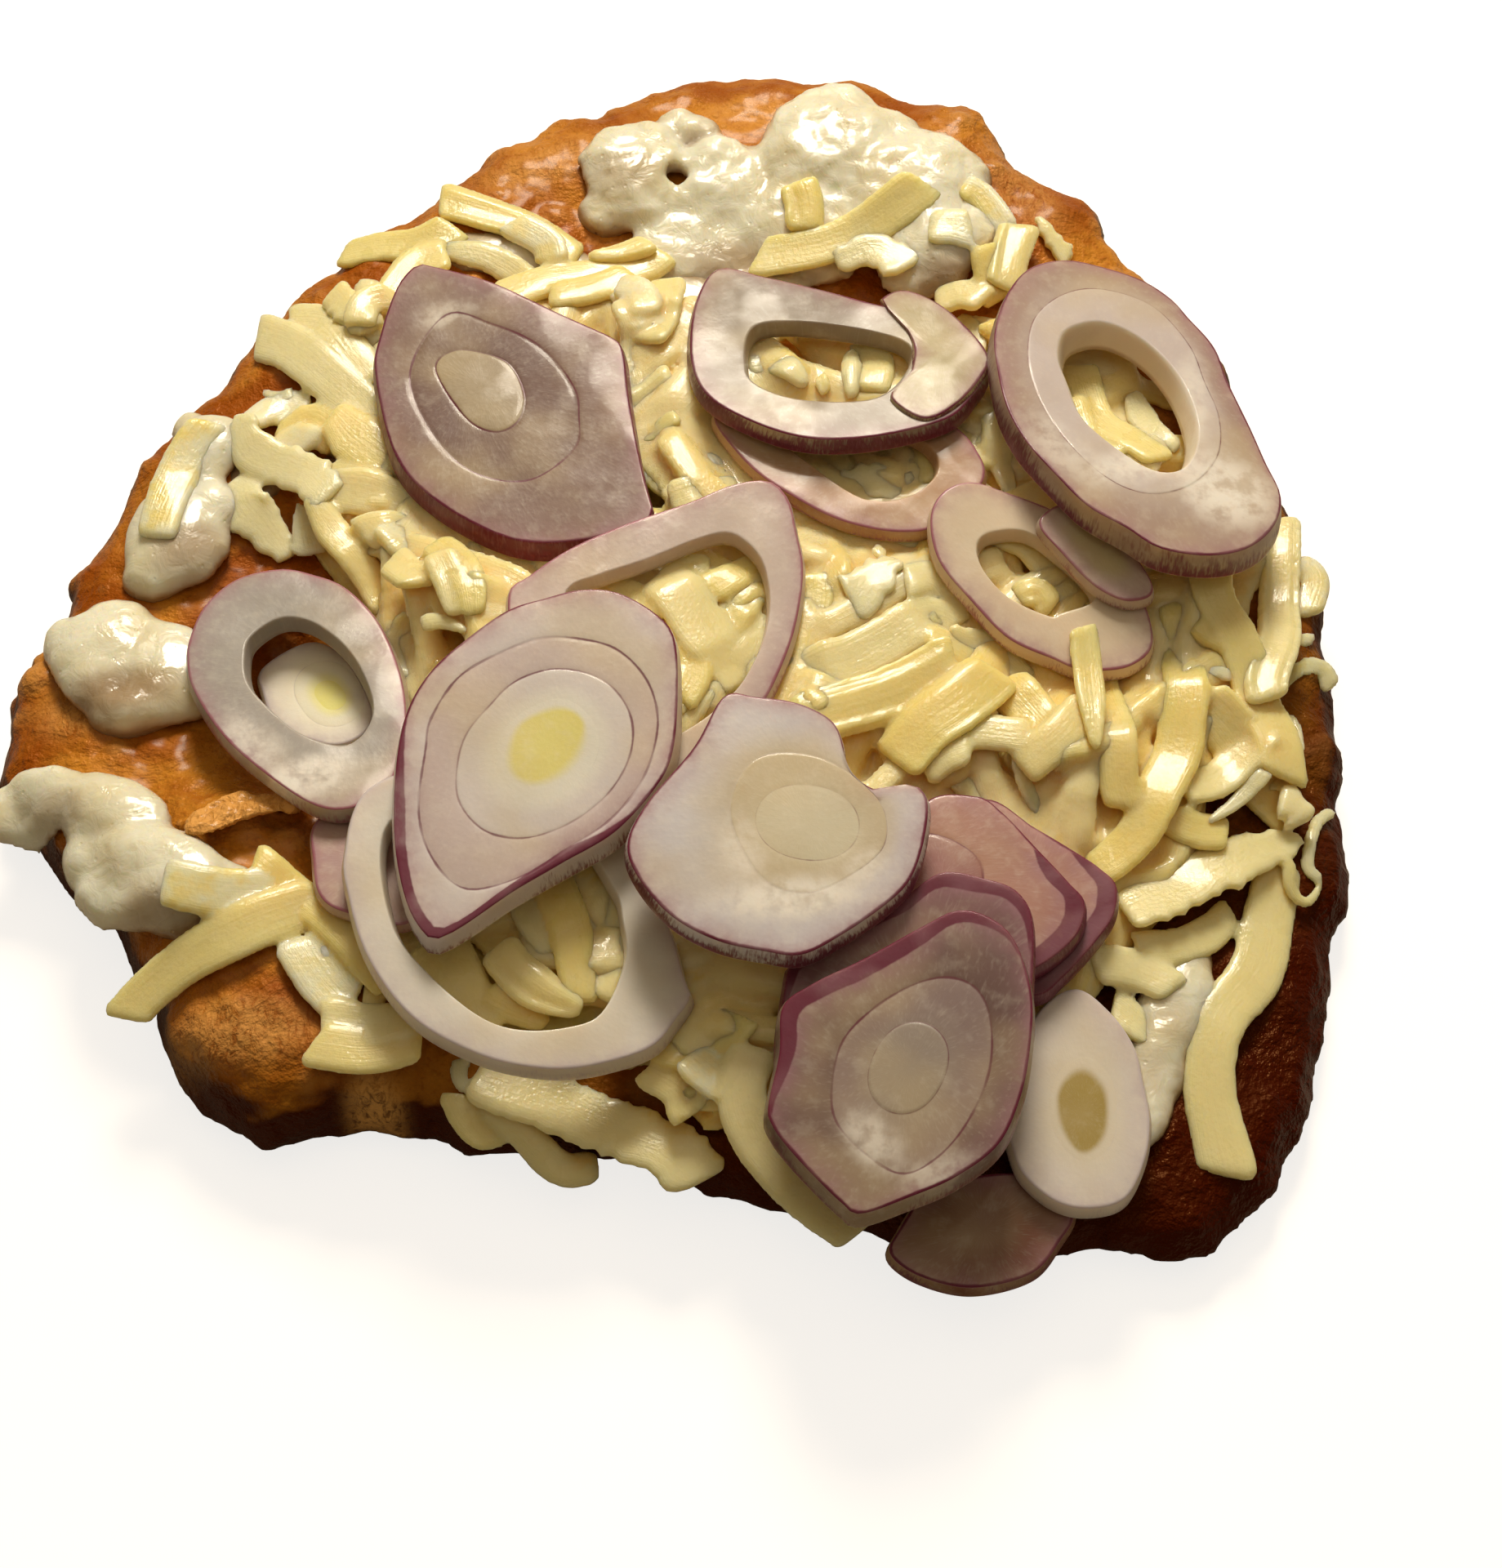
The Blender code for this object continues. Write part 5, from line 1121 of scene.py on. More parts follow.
class ShredPile:
    """Collects laid shreds, each a closed bar, for one joined mesh.

    perch is how far a shred rests on the highest spot across its width and not on the mean height there,
    and sink is how many mm it lies in what is below it.
    """

    def __init__(self, name, relief, ceiling, seed, perch, sink):
        self.name = name
        self.perch, self.sink = perch, sink
        self.relief, self.ceiling = relief, ceiling
        self.rng = np.random.default_rng(seed)
        self.points, self.faces, self.values = [], [], []
        self.count = 0

    def rest(self, path, side, width, thick):
        """Height of the shred's underside along its path."""
        spots = path[:, None, :] + side[:, None, :] * (np.linspace(-0.5, 0.5, 7) * width)[None, :, None]
        under = self.relief.read(spots[..., 0], spots[..., 1])
        roof = self.ceiling.read(spots[..., 0], spots[..., 1]).min(axis=1)
        under = np.maximum(under, 0.3)
        low = self.perch * under.max(axis=1) + (1 - self.perch) * under.mean(axis=1) - self.sink
        low = limit_slope(low, SHRED_STEP, np.maximum)
        low = blur(low, 3)
        roof = limit_slope(roof - thick - 0.25, SHRED_STEP, np.minimum)
        return np.minimum(low, blur(roof, 1))

    def add(self, points, width, kind, thick, sides, step):
        """Lays one shred over a path, draped on what is below it."""
        rng = self.rng
        path = smooth_path(np.asarray(points, float) + CENTRING, SHRED_STEP)
        heading = np.gradient(path, axis=0)
        heading /= np.maximum(np.hypot(*heading.T), 1e-6)[:, None]
        side = np.stack([-heading[:, 1], heading[:, 0]], axis=1)
        if kind == "film":
            thick *= 0.5
        low = self.rest(path, side, width, thick)
        count = max(5, round(len(path) * SHRED_STEP / step))
        at = np.linspace(0, len(path) - 1, count)
        index = np.arange(len(path))
        x, y, z = (np.interp(at, index, values) for values in (path[:, 0], path[:, 1], low))
        centre = np.stack([x, y, z + thick / 2], axis=1)
        along = np.gradient(centre, axis=0)
        along /= np.linalg.norm(along, axis=1)[:, None]
        flat = np.cross((0.0, 0.0, 1.0), along)
        flat /= np.linalg.norm(flat, axis=1)[:, None]
        up = np.cross(along, flat)
        far = np.linspace(0, 1, count)
        length = SHRED_STEP * (len(path) - 1)
        u, v, half, deep = self.profile(kind, width, thick, far, length, sides)
        bar = centre[:, None, :] + flat[:, None, :] * u[..., None] + up[:, None, :] * v[..., None]
        ends = np.minimum(far, 1 - far) * length
        skew = rng.uniform(-0.6, 0.6, 2)[(far > 0.5).astype(int)] * np.clip(1 - ends / 2.5, 0, 1)
        bar += along[:, None, :] * (skew[:, None] * u)[..., None]
        tips = np.stack([bar[0].mean(axis=0) - along[0] * 0.12, bar[-1].mean(axis=0) + along[-1] * 0.12])
        across = half[:, None] * np.linspace(-0.8, 0.8, 7)
        lift = 0.9 * up * deep[:, None]
        middle = (centre + lift)[:, None, :] + flat[:, None, :] * across[..., None]
        for spots in (bar, middle):
            self.relief.stamp(spots[..., 0].ravel(), spots[..., 1].ravel(), spots[..., 2].ravel())
        self.store(bar, tips, length, kind)

    def profile(self, kind, width, thick, far, length, sides):
        """The outline of each cross-section, with the shred's half width and half thickness there."""
        rng, count = self.rng, len(far)
        roll = rng.uniform(-0.22, 0.22) + rng.uniform(-0.5, 0.5) * (far - 0.5)
        swell = 1 + 0.05 * np.sin(far * length / rng.uniform(4, 8) + rng.uniform(0, 6))
        swell += rng.normal(0, 0.012, count)
        taper = np.ones(count)
        for from_end in (far * length, (1 - far) * length):
            reach, tip = (rng.uniform(*span) for span in BLUNT_END)
            if rng.random() < POINTED_SHARE:
                reach, tip = (rng.uniform(*span) for span in POINTED_END)
            taper *= tip + (1 - tip) * np.clip(from_end / reach, 0, 1) ** 0.6
        half = 0.5 * width * swell * taper
        ends = np.minimum(far, 1 - far) * length
        deep = 0.5 * thick * (0.75 + 0.25 * np.clip(ends / 0.8, 0, 1) ** 0.5) * (0.7 + 0.3 * taper)
        turn = (np.arange(sides) + 0.5) * 2 * math.pi / sides
        cx = (np.sign(np.cos(turn)) * np.abs(np.cos(turn)) ** 0.6)[None, :]
        cz = (np.sign(np.sin(turn)) * np.abs(np.sin(turn)) ** 0.7)[None, :]
        across, lift = half[:, None] * cx, deep[:, None] * cz
        dish = rng.uniform(-0.1, 0.5)
        lift = np.where(cz > 0.2, lift * (1 - dish * (1 - cx**2)), lift)
        if kind == "ridged":
            comb = 0.3 * np.cos(cx * rng.uniform(8, 12) + rng.uniform(0, 2))
            lift = np.where(cz > 0.2, lift + comb * np.clip(ends / 2.0, 0.2, 1)[:, None], lift)
        if kind == "torn":
            tear = rng.normal(0, 0.3, (count, 2))
            across = across + np.where(cx > 0.5, tear[:, :1], 0) + np.where(cx < -0.5, tear[:, 1:], 0)
        cos, sin = np.cos(roll)[:, None], np.sin(roll)[:, None]
        return across * cos - lift * sin, across * sin + lift * cos, half, deep

    def store(self, bar, tips, length, kind):
        """Keeps the bar's points and faces, with how far along and how far across each point is."""
        rings, sides = bar.shape[:2]
        start = self.count
        level, k = np.divmod(np.arange((rings - 1) * sides), sides)
        nearer, next_k = level * sides, (k + 1) % sides
        quads = np.stack([nearer + k, nearer + next_k, nearer + sides + next_k, nearer + sides + k], axis=1)
        first, last, far_ring = rings * sides, rings * sides + 1, (rings - 1) * sides
        k = np.arange(sides)
        near_cap = np.stack([np.full(sides, first), (k + 1) % sides, k], axis=1)
        far_cap = np.stack([np.full(sides, last), far_ring + k, far_ring + (k + 1) % sides], axis=1)
        self.points.append(np.concatenate([bar.reshape(-1, 3), tips]))
        for faces in (quads, near_cap, far_cap):
            self.faces += (faces + start).tolist()
        seed = self.rng.uniform(0, 50)
        along = np.repeat(seed + np.linspace(0, length / 10, rings), sides)
        across = np.tile(0.5 * np.cos((k + 0.5) * 2 * math.pi / sides), rings)
        values = np.zeros((rings * sides + 2, 5))
        values[:-2, 0], values[:-2, 1] = along, across
        values[-2:, 0] = along[0], along[-1]
        values[:, 3] = self.rng.uniform(0.1, 0.75) + (0.25 if kind in ("film", "torn") else 0.0)
        values[:, 4] = 1.0 if kind == "coated" else 0.0
        self.values.append(values)
        self.count += rings * sides + 2

    def finish(self, material, voxel):
        """One mesh of the shreds, melted together."""
        points, values = np.concatenate(self.points), np.concatenate(self.values)
        pile = new_mesh(self.name, points, self.faces)
        voxel_skin(pile, voxel, 1)
        set_strand_values(pile.data, carry_over(points, self.faces, values, pile.data))
        return dress(pile, "cheese", material, "cheese_heap")


def carry_over(points, faces, values, mesh):
    """Values for the points of a melted pile, from the nearest faces of the shreds in it."""
    tree = BVHTree.FromPolygons(points.tolist(), faces)
    carried = np.empty((len(mesh.vertices), values.shape[1]))
    for k, point in enumerate(points_of(mesh)):
        spot, _, face, _ = tree.find_nearest(point)
        corners = faces[face]
        weights = np.array(poly_3d_calc([Vector(points[c]) for c in corners], spot))
        carried[k] = weights @ values[corners]
    return carried


def random_shred(rng):
    """A short curved path somewhere in the heap."""
    while True:
        angle = rng.uniform(0, 2 * math.pi)
        share = math.sqrt(rng.uniform(0, 0.93))
        radius = float(around(CORE_RADII, angle)) * share
        x, y = CORE_X + radius * math.cos(angle), CORE_Y + radius * math.sin(angle)
        if any(math.hypot(x - bx, y - by) < size for bx, by, size in BARE_SPOTS):
            continue
        heading = -0.9 + 1.3 * math.sin(x / 38) + 1.1 * math.cos(y / 31 + 1) + rng.normal(0, 0.38)
        length = rng.uniform(*BURIED_LENGTHS) * (1 - SHORTER_OUTSIDE * share)
        bend = rng.uniform(-0.8, 0.8)
        path = []
        for t in (-0.5, -0.17, 0.17, 0.5):
            turn = heading + bend * t
            path.append((x + length * t * math.cos(turn), y + length * t * math.sin(turn)))
        if all(float(heap_share(px, py)) < 0.98 for px, py in path):
            return path


def mark_crevice_shade(mesh, relief):
    """How far each point lies below the heap's general surface, for painted shade: a deeper, darker yellow in
    crevices.
    """
    cover = relief.cells.copy()
    for axis in (0, 1):
        cover = sum(np.roll(cover, k, axis) for k in range(-2, 3)) / 5
    points = points_of(mesh)
    depth = cover[relief.index(points[:, 0], points[:, 1])] - points[:, 2]
    set_attribute(mesh, "sunk", smooth_step((depth - CREVICE_SHADE_START) / CREVICE_SHADE_REACH))


def make_cheese(settings, relief, ceiling):
    """The dome, the buried shreds, those that show, and the one over an onion ring."""
    material = cheese_material(settings)
    pieces = [make_heap_core(relief, material)]
    buried = ShredPile("cheese_shreds_under", relief, ceiling, seed=21, perch=0.6, sink=0.5)
    for _ in range(settings.buried_shreds):
        path = random_shred(buried.rng)
        width = buried.rng.uniform(*BURIED_WIDTHS)
        buried.add(path, width, "plain", SHRED_THICK, BURIED_SIDES, BURIED_RING_STEP)
    pieces.append(buried.finish(material, BURIED_VOXEL))
    soft = ShredPile("cheese_shreds", relief, ceiling, seed=8, perch=0.5, sink=0.75)
    crisp = ShredPile("cheese_shreds_torn", relief, ceiling, seed=9, perch=0.5, sink=0.65)
    for row in SHREDS:
        *path, width, kind = row if isinstance(row[-1], str) else (*row, "plain")
        pile = soft if kind in ("plain", "coated") else crisp
        sides = RIDGED_SIDES if kind == "ridged" else PLAIN_SIDES
        pile.add(path, SHRED_WIDER * width, kind, SHRED_THICK, sides, RING_STEP)
    pieces += [soft.finish(material, SOFT_VOXEL), crisp.finish(material, CRISP_VOXEL)]
    relief.add_mesh(frame["nodes"]["onion_ring_right"].data)
    over = ShredPile("cheese_shreds_over", relief, Relief(OPEN_SKY), seed=12, perch=0.9, sink=0.1)
    over.add(OVER_SHRED, OVER_WIDTH, "plain", OVER_THICK, PLAIN_SIDES, RING_STEP)
    pieces.append(over.finish(material, CRISP_VOXEL))
    for piece in pieces:
        mark_crevice_shade(piece.data, relief)


# Onion slices

SLICE_POINTS = 132
PURPLE, PINK, PALE = "onion purple", "onion pink", "onion pale"

# An outline is a smooth loop through points, or an oval by x, y, radius, how oval it is and its slant in
# degrees. In each row, edge is the slice's outline, layers the borders between its layers from outside in,
# hole the hole's outline, flesh each layer's colour, line how dark and deep each border is, thick the
# thickness in mm, look the material, and skin how much of the wall has skin. band is the side, in degrees,
# where skin shows over the cut face, and its width. funnel is how much wider the hole is at the top. plane is
# another slice whose slant this one has, and lift how many mm this one lies over it.
SLICES = {
    "onion_slice_on_crust": {
        "edge": (
            (31, -102), (30, -105), (34, -108), (41, -109.5), (49, -107.5), (53, -103), (55, -99.5),
            (54.5, -95), (44.5, -94), (35.5, -96.5),
        ),
        "flesh": ((0.18, 0.04, 0.01),),
        "thick": 2.8, "look": PURPLE, "skin": 0.3,
    },
    "onion_disc_lower_right": {
        "edge": (
            (56.5, -68.5), (51.5, -71.5), (47.5, -79.5), (46, -87), (46.5, -91.5), (48, -95.5), (52, -99),
            (56.5, -100), (61.5, -98.5), (64.5, -93), (65.5, -87.5), (65, -82.5), (64, -77), (61, -72),
        ),
        "layers": (
            (
                (52, -84), (54, -80), (57.5, -78.5), (60.5, -81.5), (61, -86), (60, -91), (56.5, -93.5),
                (53.5, -91.5), (52, -88),
            ),
            (
                (53.5, -84.5), (55, -82), (57, -81.5), (59, -84), (59, -88), (57.5, -91), (55.5, -91.5),
                (54, -88.5),
            ),
        ),
        "flesh": ((0.71, 0.65, 0.59), (0.73, 0.66, 0.54), (0.4, 0.29, 0.07)),
        "thick": 3.0, "look": PALE, "line": (0.25, 0.0),
    },
    "onion_slice_pink_lower": {
        "edge": (
            (45, -40.5), (51.5, -45), (58, -49.5), (60.5, -51.5), (62.5, -54), (62, -58.5), (59, -63),
            (54.5, -68), (50.5, -71), (43, -70), (37.5, -56.5), (38, -45),
        ),
        "flesh": ((0.43, 0.22, 0.17),),
        "thick": 3.0, "look": PURPLE, "skin": 1.0, "band": (-35, 2.4),
    },
    "onion_slice_pink_upper": {
        "edge": (
            (36, -43), (43, -42), (46.5, -44.5), (51.5, -50.5), (55.5, -55.5), (57.5, -58.5), (56, -63.5),
            (50, -68.5), (42.5, -70.5), (36, -65.5), (33, -53.5),
        ),
        "layers": (
            (
                (31.5, -53.5), (35, -48.5), (39, -49), (42.5, -51.5), (43.5, -54.5), (42.5, -60), (37, -63),
                (32.5, -59),
            ),
        ),
        "flesh": ((0.43, 0.22, 0.17), (0.34, 0.15, 0.14)),
        "thick": 3.2, "look": PURPLE, "skin": 1.0, "band": (-35, 2.4),
    },
    "onion_slice_front_under": {
        "edge": (
            (16, -71), (18, -68), (26, -62.5), (32.5, -59.5), (37.5, -56.5), (43, -57.5), (47.5, -59.5),
            (49.5, -64), (49, -74), (48, -82), (39.5, -92), (26.5, -93.5), (15.5, -85.5),
        ),
        "flesh": ((0.19, 0.09, 0.09),),
        "thick": 3.2, "look": PURPLE, "skin": 1.0, "band": (100, 2.0),
    },
    "onion_disc_front": {
        "edge": (
            (15.5, -76.5), (15, -83), (13.5, -90), (14, -92.5), (16, -95.5), (19.5, -99.5), (23, -103),
            (25.5, -104.5), (32, -102.5), (38, -100), (43.5, -96), (46.5, -90), (48, -83.5), (48.5, -76),
            (46.5, -68.5), (43, -65), (39, -64), (34.5, -66), (26, -70.5), (19.5, -73.5),
        ),
        "layers": (
            (
                (22, -87.5), (23.5, -81.5), (28, -77), (33.5, -74), (38, -73.5), (41.5, -75.5), (43, -80),
                (42.5, -86.5), (39.5, -93), (35.5, -97.5), (31, -99.5), (26.5, -97), (22.5, -92.5),
            ),
            (32.0, -85.5, 5.6, 0.13, 64),
        ),
        "flesh": ((0.16, 0.09, 0.08), (0.28, 0.2, 0.19), (0.34, 0.28, 0.24)),
        "line": (1.0, 0.5), "thick": 4.0, "look": PURPLE, "skin": 0.25, "band": (122, 2.2),
    },
    "onion_ring_top_under": {
        "edge": (
            (5.5, 25.5), (7.5, 21), (12.5, 14.5), (19.5, 9), (26, 5.5), (33.5, 4), (39.5, 5.5), (46.5, 13.5),
            (45.5, 20), (41, 25), (33, 27), (22, 27), (12, 28.5), (7, 28.5),
        ),
        "hole": (
            (14.5, 22.5), (18.5, 18), (26.5, 11), (31, 9.5), (36, 11), (39.5, 15), (39, 19), (35, 22),
            (26, 22), (18, 23),
        ),
        "flesh": ((0.44, 0.26, 0.14),),
        "thick": 2.4, "look": PINK,
    },
    "onion_ring_top": {
        "edge": (
            (6, 54), (13.5, 52), (22, 49.5), (30, 46.5), (36.5, 45), (41.5, 44.5), (46, 39), (48, 33.5),
            (45.5, 27.5), (41, 22), (31, 18.5), (21, 17.5), (12.5, 20.5), (5, 26), (2, 34), (2.5, 46),
        ),
        "hole": (
            (10.5, 32.5), (13, 28), (20, 25.5), (30, 26), (35, 31.5), (35.5, 37.5), (26.5, 41),
            (12.5, 41.5),
        ),
        "flesh": ((0.31, 0.26, 0.21),),
        "thick": 3.4, "look": PURPLE, "skin": 0.55,
    },
    "onion_disc_upper_left": {
        "edge": (
            (-42, 54), (-39.5, 54), (-29, 50), (-19, 44), (-10.5, 39), (-8.5, 36), (-7.5, 28), (-6, 18.5),
            (-4.5, 11), (-3.5, 5.5), (-8, 2.5), (-19.5, 1), (-27, 3), (-36.5, 9.5), (-43, 18), (-47, 33.5),
            (-46.5, 41.5), (-44.5, 50),
        ),
        "layers": (
            (
                (-41.5, 33), (-36.5, 44), (-29, 42), (-21, 37), (-16, 29.5), (-15, 24), (-15.5, 18),
                (-22, 12.5), (-30.5, 14), (-37.5, 21.5),
            ),
            (
                (-37.5, 33.5), (-35, 37), (-30.5, 36.5), (-26, 34), (-23.5, 28), (-24.5, 23), (-28, 21.5),
                (-32.5, 24.5),
            ),
        ),
        "flesh": ((0.24, 0.15, 0.12), (0.19, 0.11, 0.09), (0.38, 0.3, 0.2)),
        "thick": 4.2, "look": PURPLE, "skin": 1.0,
    },
    "onion_ring_right": {
        "edge": (
            (38, 4.5), (40, 9), (44, 11), (48.5, 10), (58, 6), (67, -2), (70.5, -13.5), (67, -18.5),
            (60, -19.5), (55.5, -18), (49, -15), (43.5, -9), (39, -2.5),
        ),
        "hole": (
            (45, 0.5), (47.5, 2.5), (53, 2.5), (60, -3.5), (62, -8), (57, -10.5), (55, -11), (49, -8),
            (45.5, -3.5),
        ),
        "flesh": ((0.7, 0.58, 0.43),),
        "thick": 2.6, "look": PINK,
    },
    "onion_disc_right": {
        "edge": ((54, 3), (58, 6.5), (63.5, 4.5), (70.5, -6.5), (67, -9.5), (62, -7.5), (57, -2)),
        "layers": ((63.0, -1.0, 2.8, 0.28, 119),),
        "flesh": ((0.6, 0.48, 0.4), (0.6, 0.5, 0.28)),
        "thick": 2.2, "look": PINK, "line": (0.0,),
    },
    "onion_ring_upper_right": {
        "edge": (
            (61, 54), (67, 53.5), (73, 51.5), (77.5, 48), (80, 44), (83.5, 38), (85, 30.5), (87.5, 21),
            (89, 14.5), (90.5, 8.5), (89.5, 3.5), (86.5, -1), (82.5, -4), (77, -5.5), (70.5, -5), (66, -2),
            (60.5, 1.5), (56, 7), (52, 13), (49.5, 19.5), (48.5, 27.5), (48.5, 35.5), (51, 44.5), (55, 51),
        ),
        "hole": (
            (59, 31.5), (60.5, 37), (66, 39.5), (72, 36.5), (76.5, 29), (78, 20), (76, 13), (72, 11),
            (67.5, 13.5), (62, 19.5), (60, 26.5),
        ),
        "layers": (
            (
                (53.5, 32), (55, 39.5), (59, 45), (64.5, 48), (70.5, 47.5), (75.5, 44.5), (79.5, 37.5),
                (81, 30.5), (82.5, 23), (81.5, 15), (77, 8.5), (71, 5.5), (65.5, 6.5), (60, 11.5),
                (56, 18.5), (54, 25),
            ),
        ),
        "flesh": ((0.41, 0.3, 0.24), (0.59, 0.51, 0.49), (0.78, 0.70, 0.60)),
        "thick": 5.2, "look": PURPLE, "skin": 0.36, "funnel": 5.0, "line": (0.6,),
    },
    "onion_slice_lower_left": {
        "edge": (
            (-51, -43.5), (-50.5, -50), (-49, -56), (-45, -59), (-36, -61), (-32, -51.5), (-36.5, -40),
            (-46, -39.5),
        ),
        "flesh": ((0.44, 0.29, 0.27),),
        "thick": 2.2, "look": PINK,
    },
    "onion_disc_left": {
        "edge": (
            (-55.5, -9.5), (-62, -14), (-61.5, -18.5), (-58.5, -24.5), (-51, -28), (-46.5, -27),
            (-44.5, -23.5), (-46.5, -17.5), (-50.5, -11.5),
        ),
        "layers": ((-51.4, -19.0, 5.5, 0.15, 123), (-51.2, -19.3, 2.5, 0.19, 126)),
        # Near-white flesh: partly the pale onion, partly painted light that offsets the shadow of the ring
        # over it
        "flesh": ((0.94, 0.88, 0.76), (0.94, 0.88, 0.7), (0.94, 0.86, 0.29)),
        "thick": 2.4, "look": PALE, "line": (0.4, 0.3),
    },
    "onion_ring_left": {
        "edge": (
            (-59.5, 0), (-66, -2), (-70, -7), (-71.5, -13), (-71.5, -17), (-70, -22.5), (-65, -30.5),
            (-58.5, -37), (-51, -42.5), (-46, -43.5), (-41.5, -41), (-39, -36), (-38.5, -28), (-40, -19.5),
            (-44, -10), (-49.5, -3.5), (-54.5, -1),
        ),
        "hole": (
            (-63, -17), (-62.5, -13), (-58.5, -9.5), (-53.5, -10.5), (-48, -15.5), (-44.5, -22),
            (-43.5, -27), (-45, -31), (-48, -32.5), (-53.5, -30.5), (-59, -25.5), (-62, -21.5),
        ),
        "flesh": ((0.37, 0.34, 0.31),),
        "thick": 3.4, "look": PINK,
    },
    "onion_ring_lower_left": {
        "edge": (
            (-45, -52.5), (-44, -59), (-41.5, -66.5), (-37.5, -73), (-33, -77.5), (-27.5, -80.5),
            (-21.5, -82.5), (-14.5, -83), (-7.5, -81.5), (-2, -79), (1, -75), (3, -71.5), (2, -68.5),
            (0, -61.5), (-6, -47.5), (-14, -39.5), (-30.5, -37.5), (-42.5, -42),
        ),
        "hole": (
            (-40, -52.5), (-37.5, -63.5), (-32.5, -70), (-26, -75.5), (-20.5, -77.5), (-14, -77),
            (-9, -74.5), (-6, -66.5), (-6.5, -60.5), (-8, -55.5), (-15, -46), (-28, -42.5), (-38, -46),
        ),
        "flesh": ((0.7, 0.66, 0.59),),
        "thick": 3.2, "look": PALE,
    },
    "onion_ring_middle": {
        "edge": (
            (3, 6.5), (7.5, 9), (12, 10.5), (15, 10), (17, 7), (18, 2), (19, -4), (18.5, -10.5),
            (17, -17.5), (14, -25.5), (11.5, -29), (4.5, -38), (-2.5, -42.5), (-14, -39.5), (-21.5, -25),
            (-24, -11.5), (-21, -7.5), (-15, -2.5), (-8, 1.5),
        ),
        "hole": (
            (3, -0.5), (7.5, 1), (10.5, -0.5), (13, -4), (14, -9.5), (13.5, -15), (12, -20), (9, -25.5),
            (3, -31.5), (-5, -35.5), (-12, -31.5), (-16, -18), (-15.5, -10), (-10.5, -7), (-3.5, -4),
        ),
        "flesh": ((0.58, 0.48, 0.43),),
        "thick": 2.6, "look": PINK,
    },
    "onion_disc_middle": {
        "edge": (
            (-18.5, -14.5), (-13, -13), (-7.5, -13.5), (-2, -17), (0.5, -21), (1, -29.5), (0.5, -38),
            (-1.5, -43.5), (-7.5, -51), (-15, -56), (-21, -60), (-27.5, -65), (-31, -67), (-33, -66),
            (-35.5, -61.5), (-37.5, -53), (-38, -42), (-37, -33), (-34, -26.5), (-29, -21), (-23.5, -16.5),
        ),
        "layers": (
            (
                (-34, -39), (-33.5, -34), (-30, -27.5), (-24.5, -23.5), (-18.5, -21), (-13, -21),
                (-8, -22.5), (-4, -26.5), (-2, -31.5), (-2, -37), (-4, -43.5), (-8.5, -49.5), (-14.5, -54),
                (-19.5, -57.5), (-24.5, -59.5), (-28, -59.5), (-31, -57), (-33.5, -52.5), (-34.5, -47),
            ),
            (
                (-29.5, -41.5), (-28.5, -36.5), (-25.5, -32), (-22, -28), (-17, -26), (-12, -26.5),
                (-8, -29), (-5.5, -33.5), (-5.5, -39), (-8, -44.5), (-12.5, -49), (-17.5, -51.5),
                (-22, -52), (-26, -50.5), (-29, -46.5),
            ),
            (
                (-24.5, -41), (-23.5, -36), (-20.5, -32.5), (-16, -30.5), (-12.5, -32), (-10, -36),
                (-10.5, -40.5), (-13.5, -44.5), (-18, -46), (-22, -44.5),
            ),
            (
                (-21.5, -39), (-20.5, -35), (-17, -33), (-14, -33), (-12.5, -35), (-14, -39), (-16.5, -42),
                (-19, -43), (-21, -42),
            ),
        ),
        "flesh": (
            (0.65, 0.59, 0.58), (0.57, 0.47, 0.45), (0.65, 0.59, 0.57), (0.75, 0.72, 0.64),
            (0.75, 0.67, 0.22),
        ),
        "line": (1.0, 0.9, 0.15, 0.0), "thick": 4.2, "look": PURPLE, "skin": 0.25, "band": (245, 1.3),
    },
    "onion_disc_centre": {
        "edge": (
            (-5.5, -54.5), (-4, -59.5), (0.5, -65), (6.5, -68.5), (13, -70), (18, -70.5), (23.5, -67.5),
            (29.5, -63), (33, -59), (35, -53), (35.5, -47), (33, -44.5), (30, -46), (27, -45), (24.5, -42),
            (24, -38.5), (22.5, -35), (18, -32.5), (12, -31.5), (7.5, -31.5), (3.5, -39.5), (-3, -48.5),
        ),
        "layers": (
            (
                (8.5, -49.5), (12, -41.5), (20.5, -41), (28.5, -47), (29.5, -54), (24.5, -59),
                (18.5, -61.5), (12.5, -59),
            ),
            (19.0, -51.0, 6.4, 0.11, 172),
        ),
        "flesh": ((0.62, 0.59, 0.61), (0.57, 0.48, 0.33), (0.64, 0.58, 0.43)),
        "line": (0.35, 0.5), "thick": 3.2, "look": PURPLE, "skin": 0.45,
    },
    "onion_ring_top_lobe": {
        "edge": (
            (31.5, 46.5), (35, 49), (40, 46.5), (44, 42), (47.5, 36), (47.5, 32), (43, 25), (37.5, 21.5),
            (32.5, 26), (35.5, 30), (36.5, 35), (36, 39), (34, 43),
        ),
        "flesh": ((0.46, 0.39, 0.22),),
        "thick": 1.6, "look": PURPLE, "skin": 0.5, "plane": "onion_ring_top", "lift": 2.5,
    },
}

# Painted sheen: spots where cut faces are whitened as if catching the light, and the slices that have such
# spots
SHEEN_SPOTS = (
    (10, -55, 3, 5, 20, 0.55),
    (16.5, -62.3, 10, 3, 5, 1.0),
    (27, -57.5, 4, 2.5, 35, 0.5),
    (27, -95, 5, 3, -50, 0.7),
    (35.5, -99.5, 5, 2.2, 20, 0.5),
    (81.5, 8, 7, 8, 60, 0.95),
    (58, 12, 4, 9, 40, 0.5),
    (-37, 44, 5, 2.5, 15, 0.45),
    (-52, -38, 7, 3.5, 15, 0.9),
    (-60, -32, 6, 3, -45, 0.6),
    (68, 10.5, 9, 3.2, 20, 0.85),
    (78, 24, 3, 12, -10, 0.6),
    (33.5, -43.5, 3, 1.6, 20, 0.9),
)
SHEENED_SLICES = (
    "onion_disc_centre",
    "onion_disc_front",
    "onion_disc_upper_left",
    "onion_ring_left",
    "onion_ring_upper_right",
)

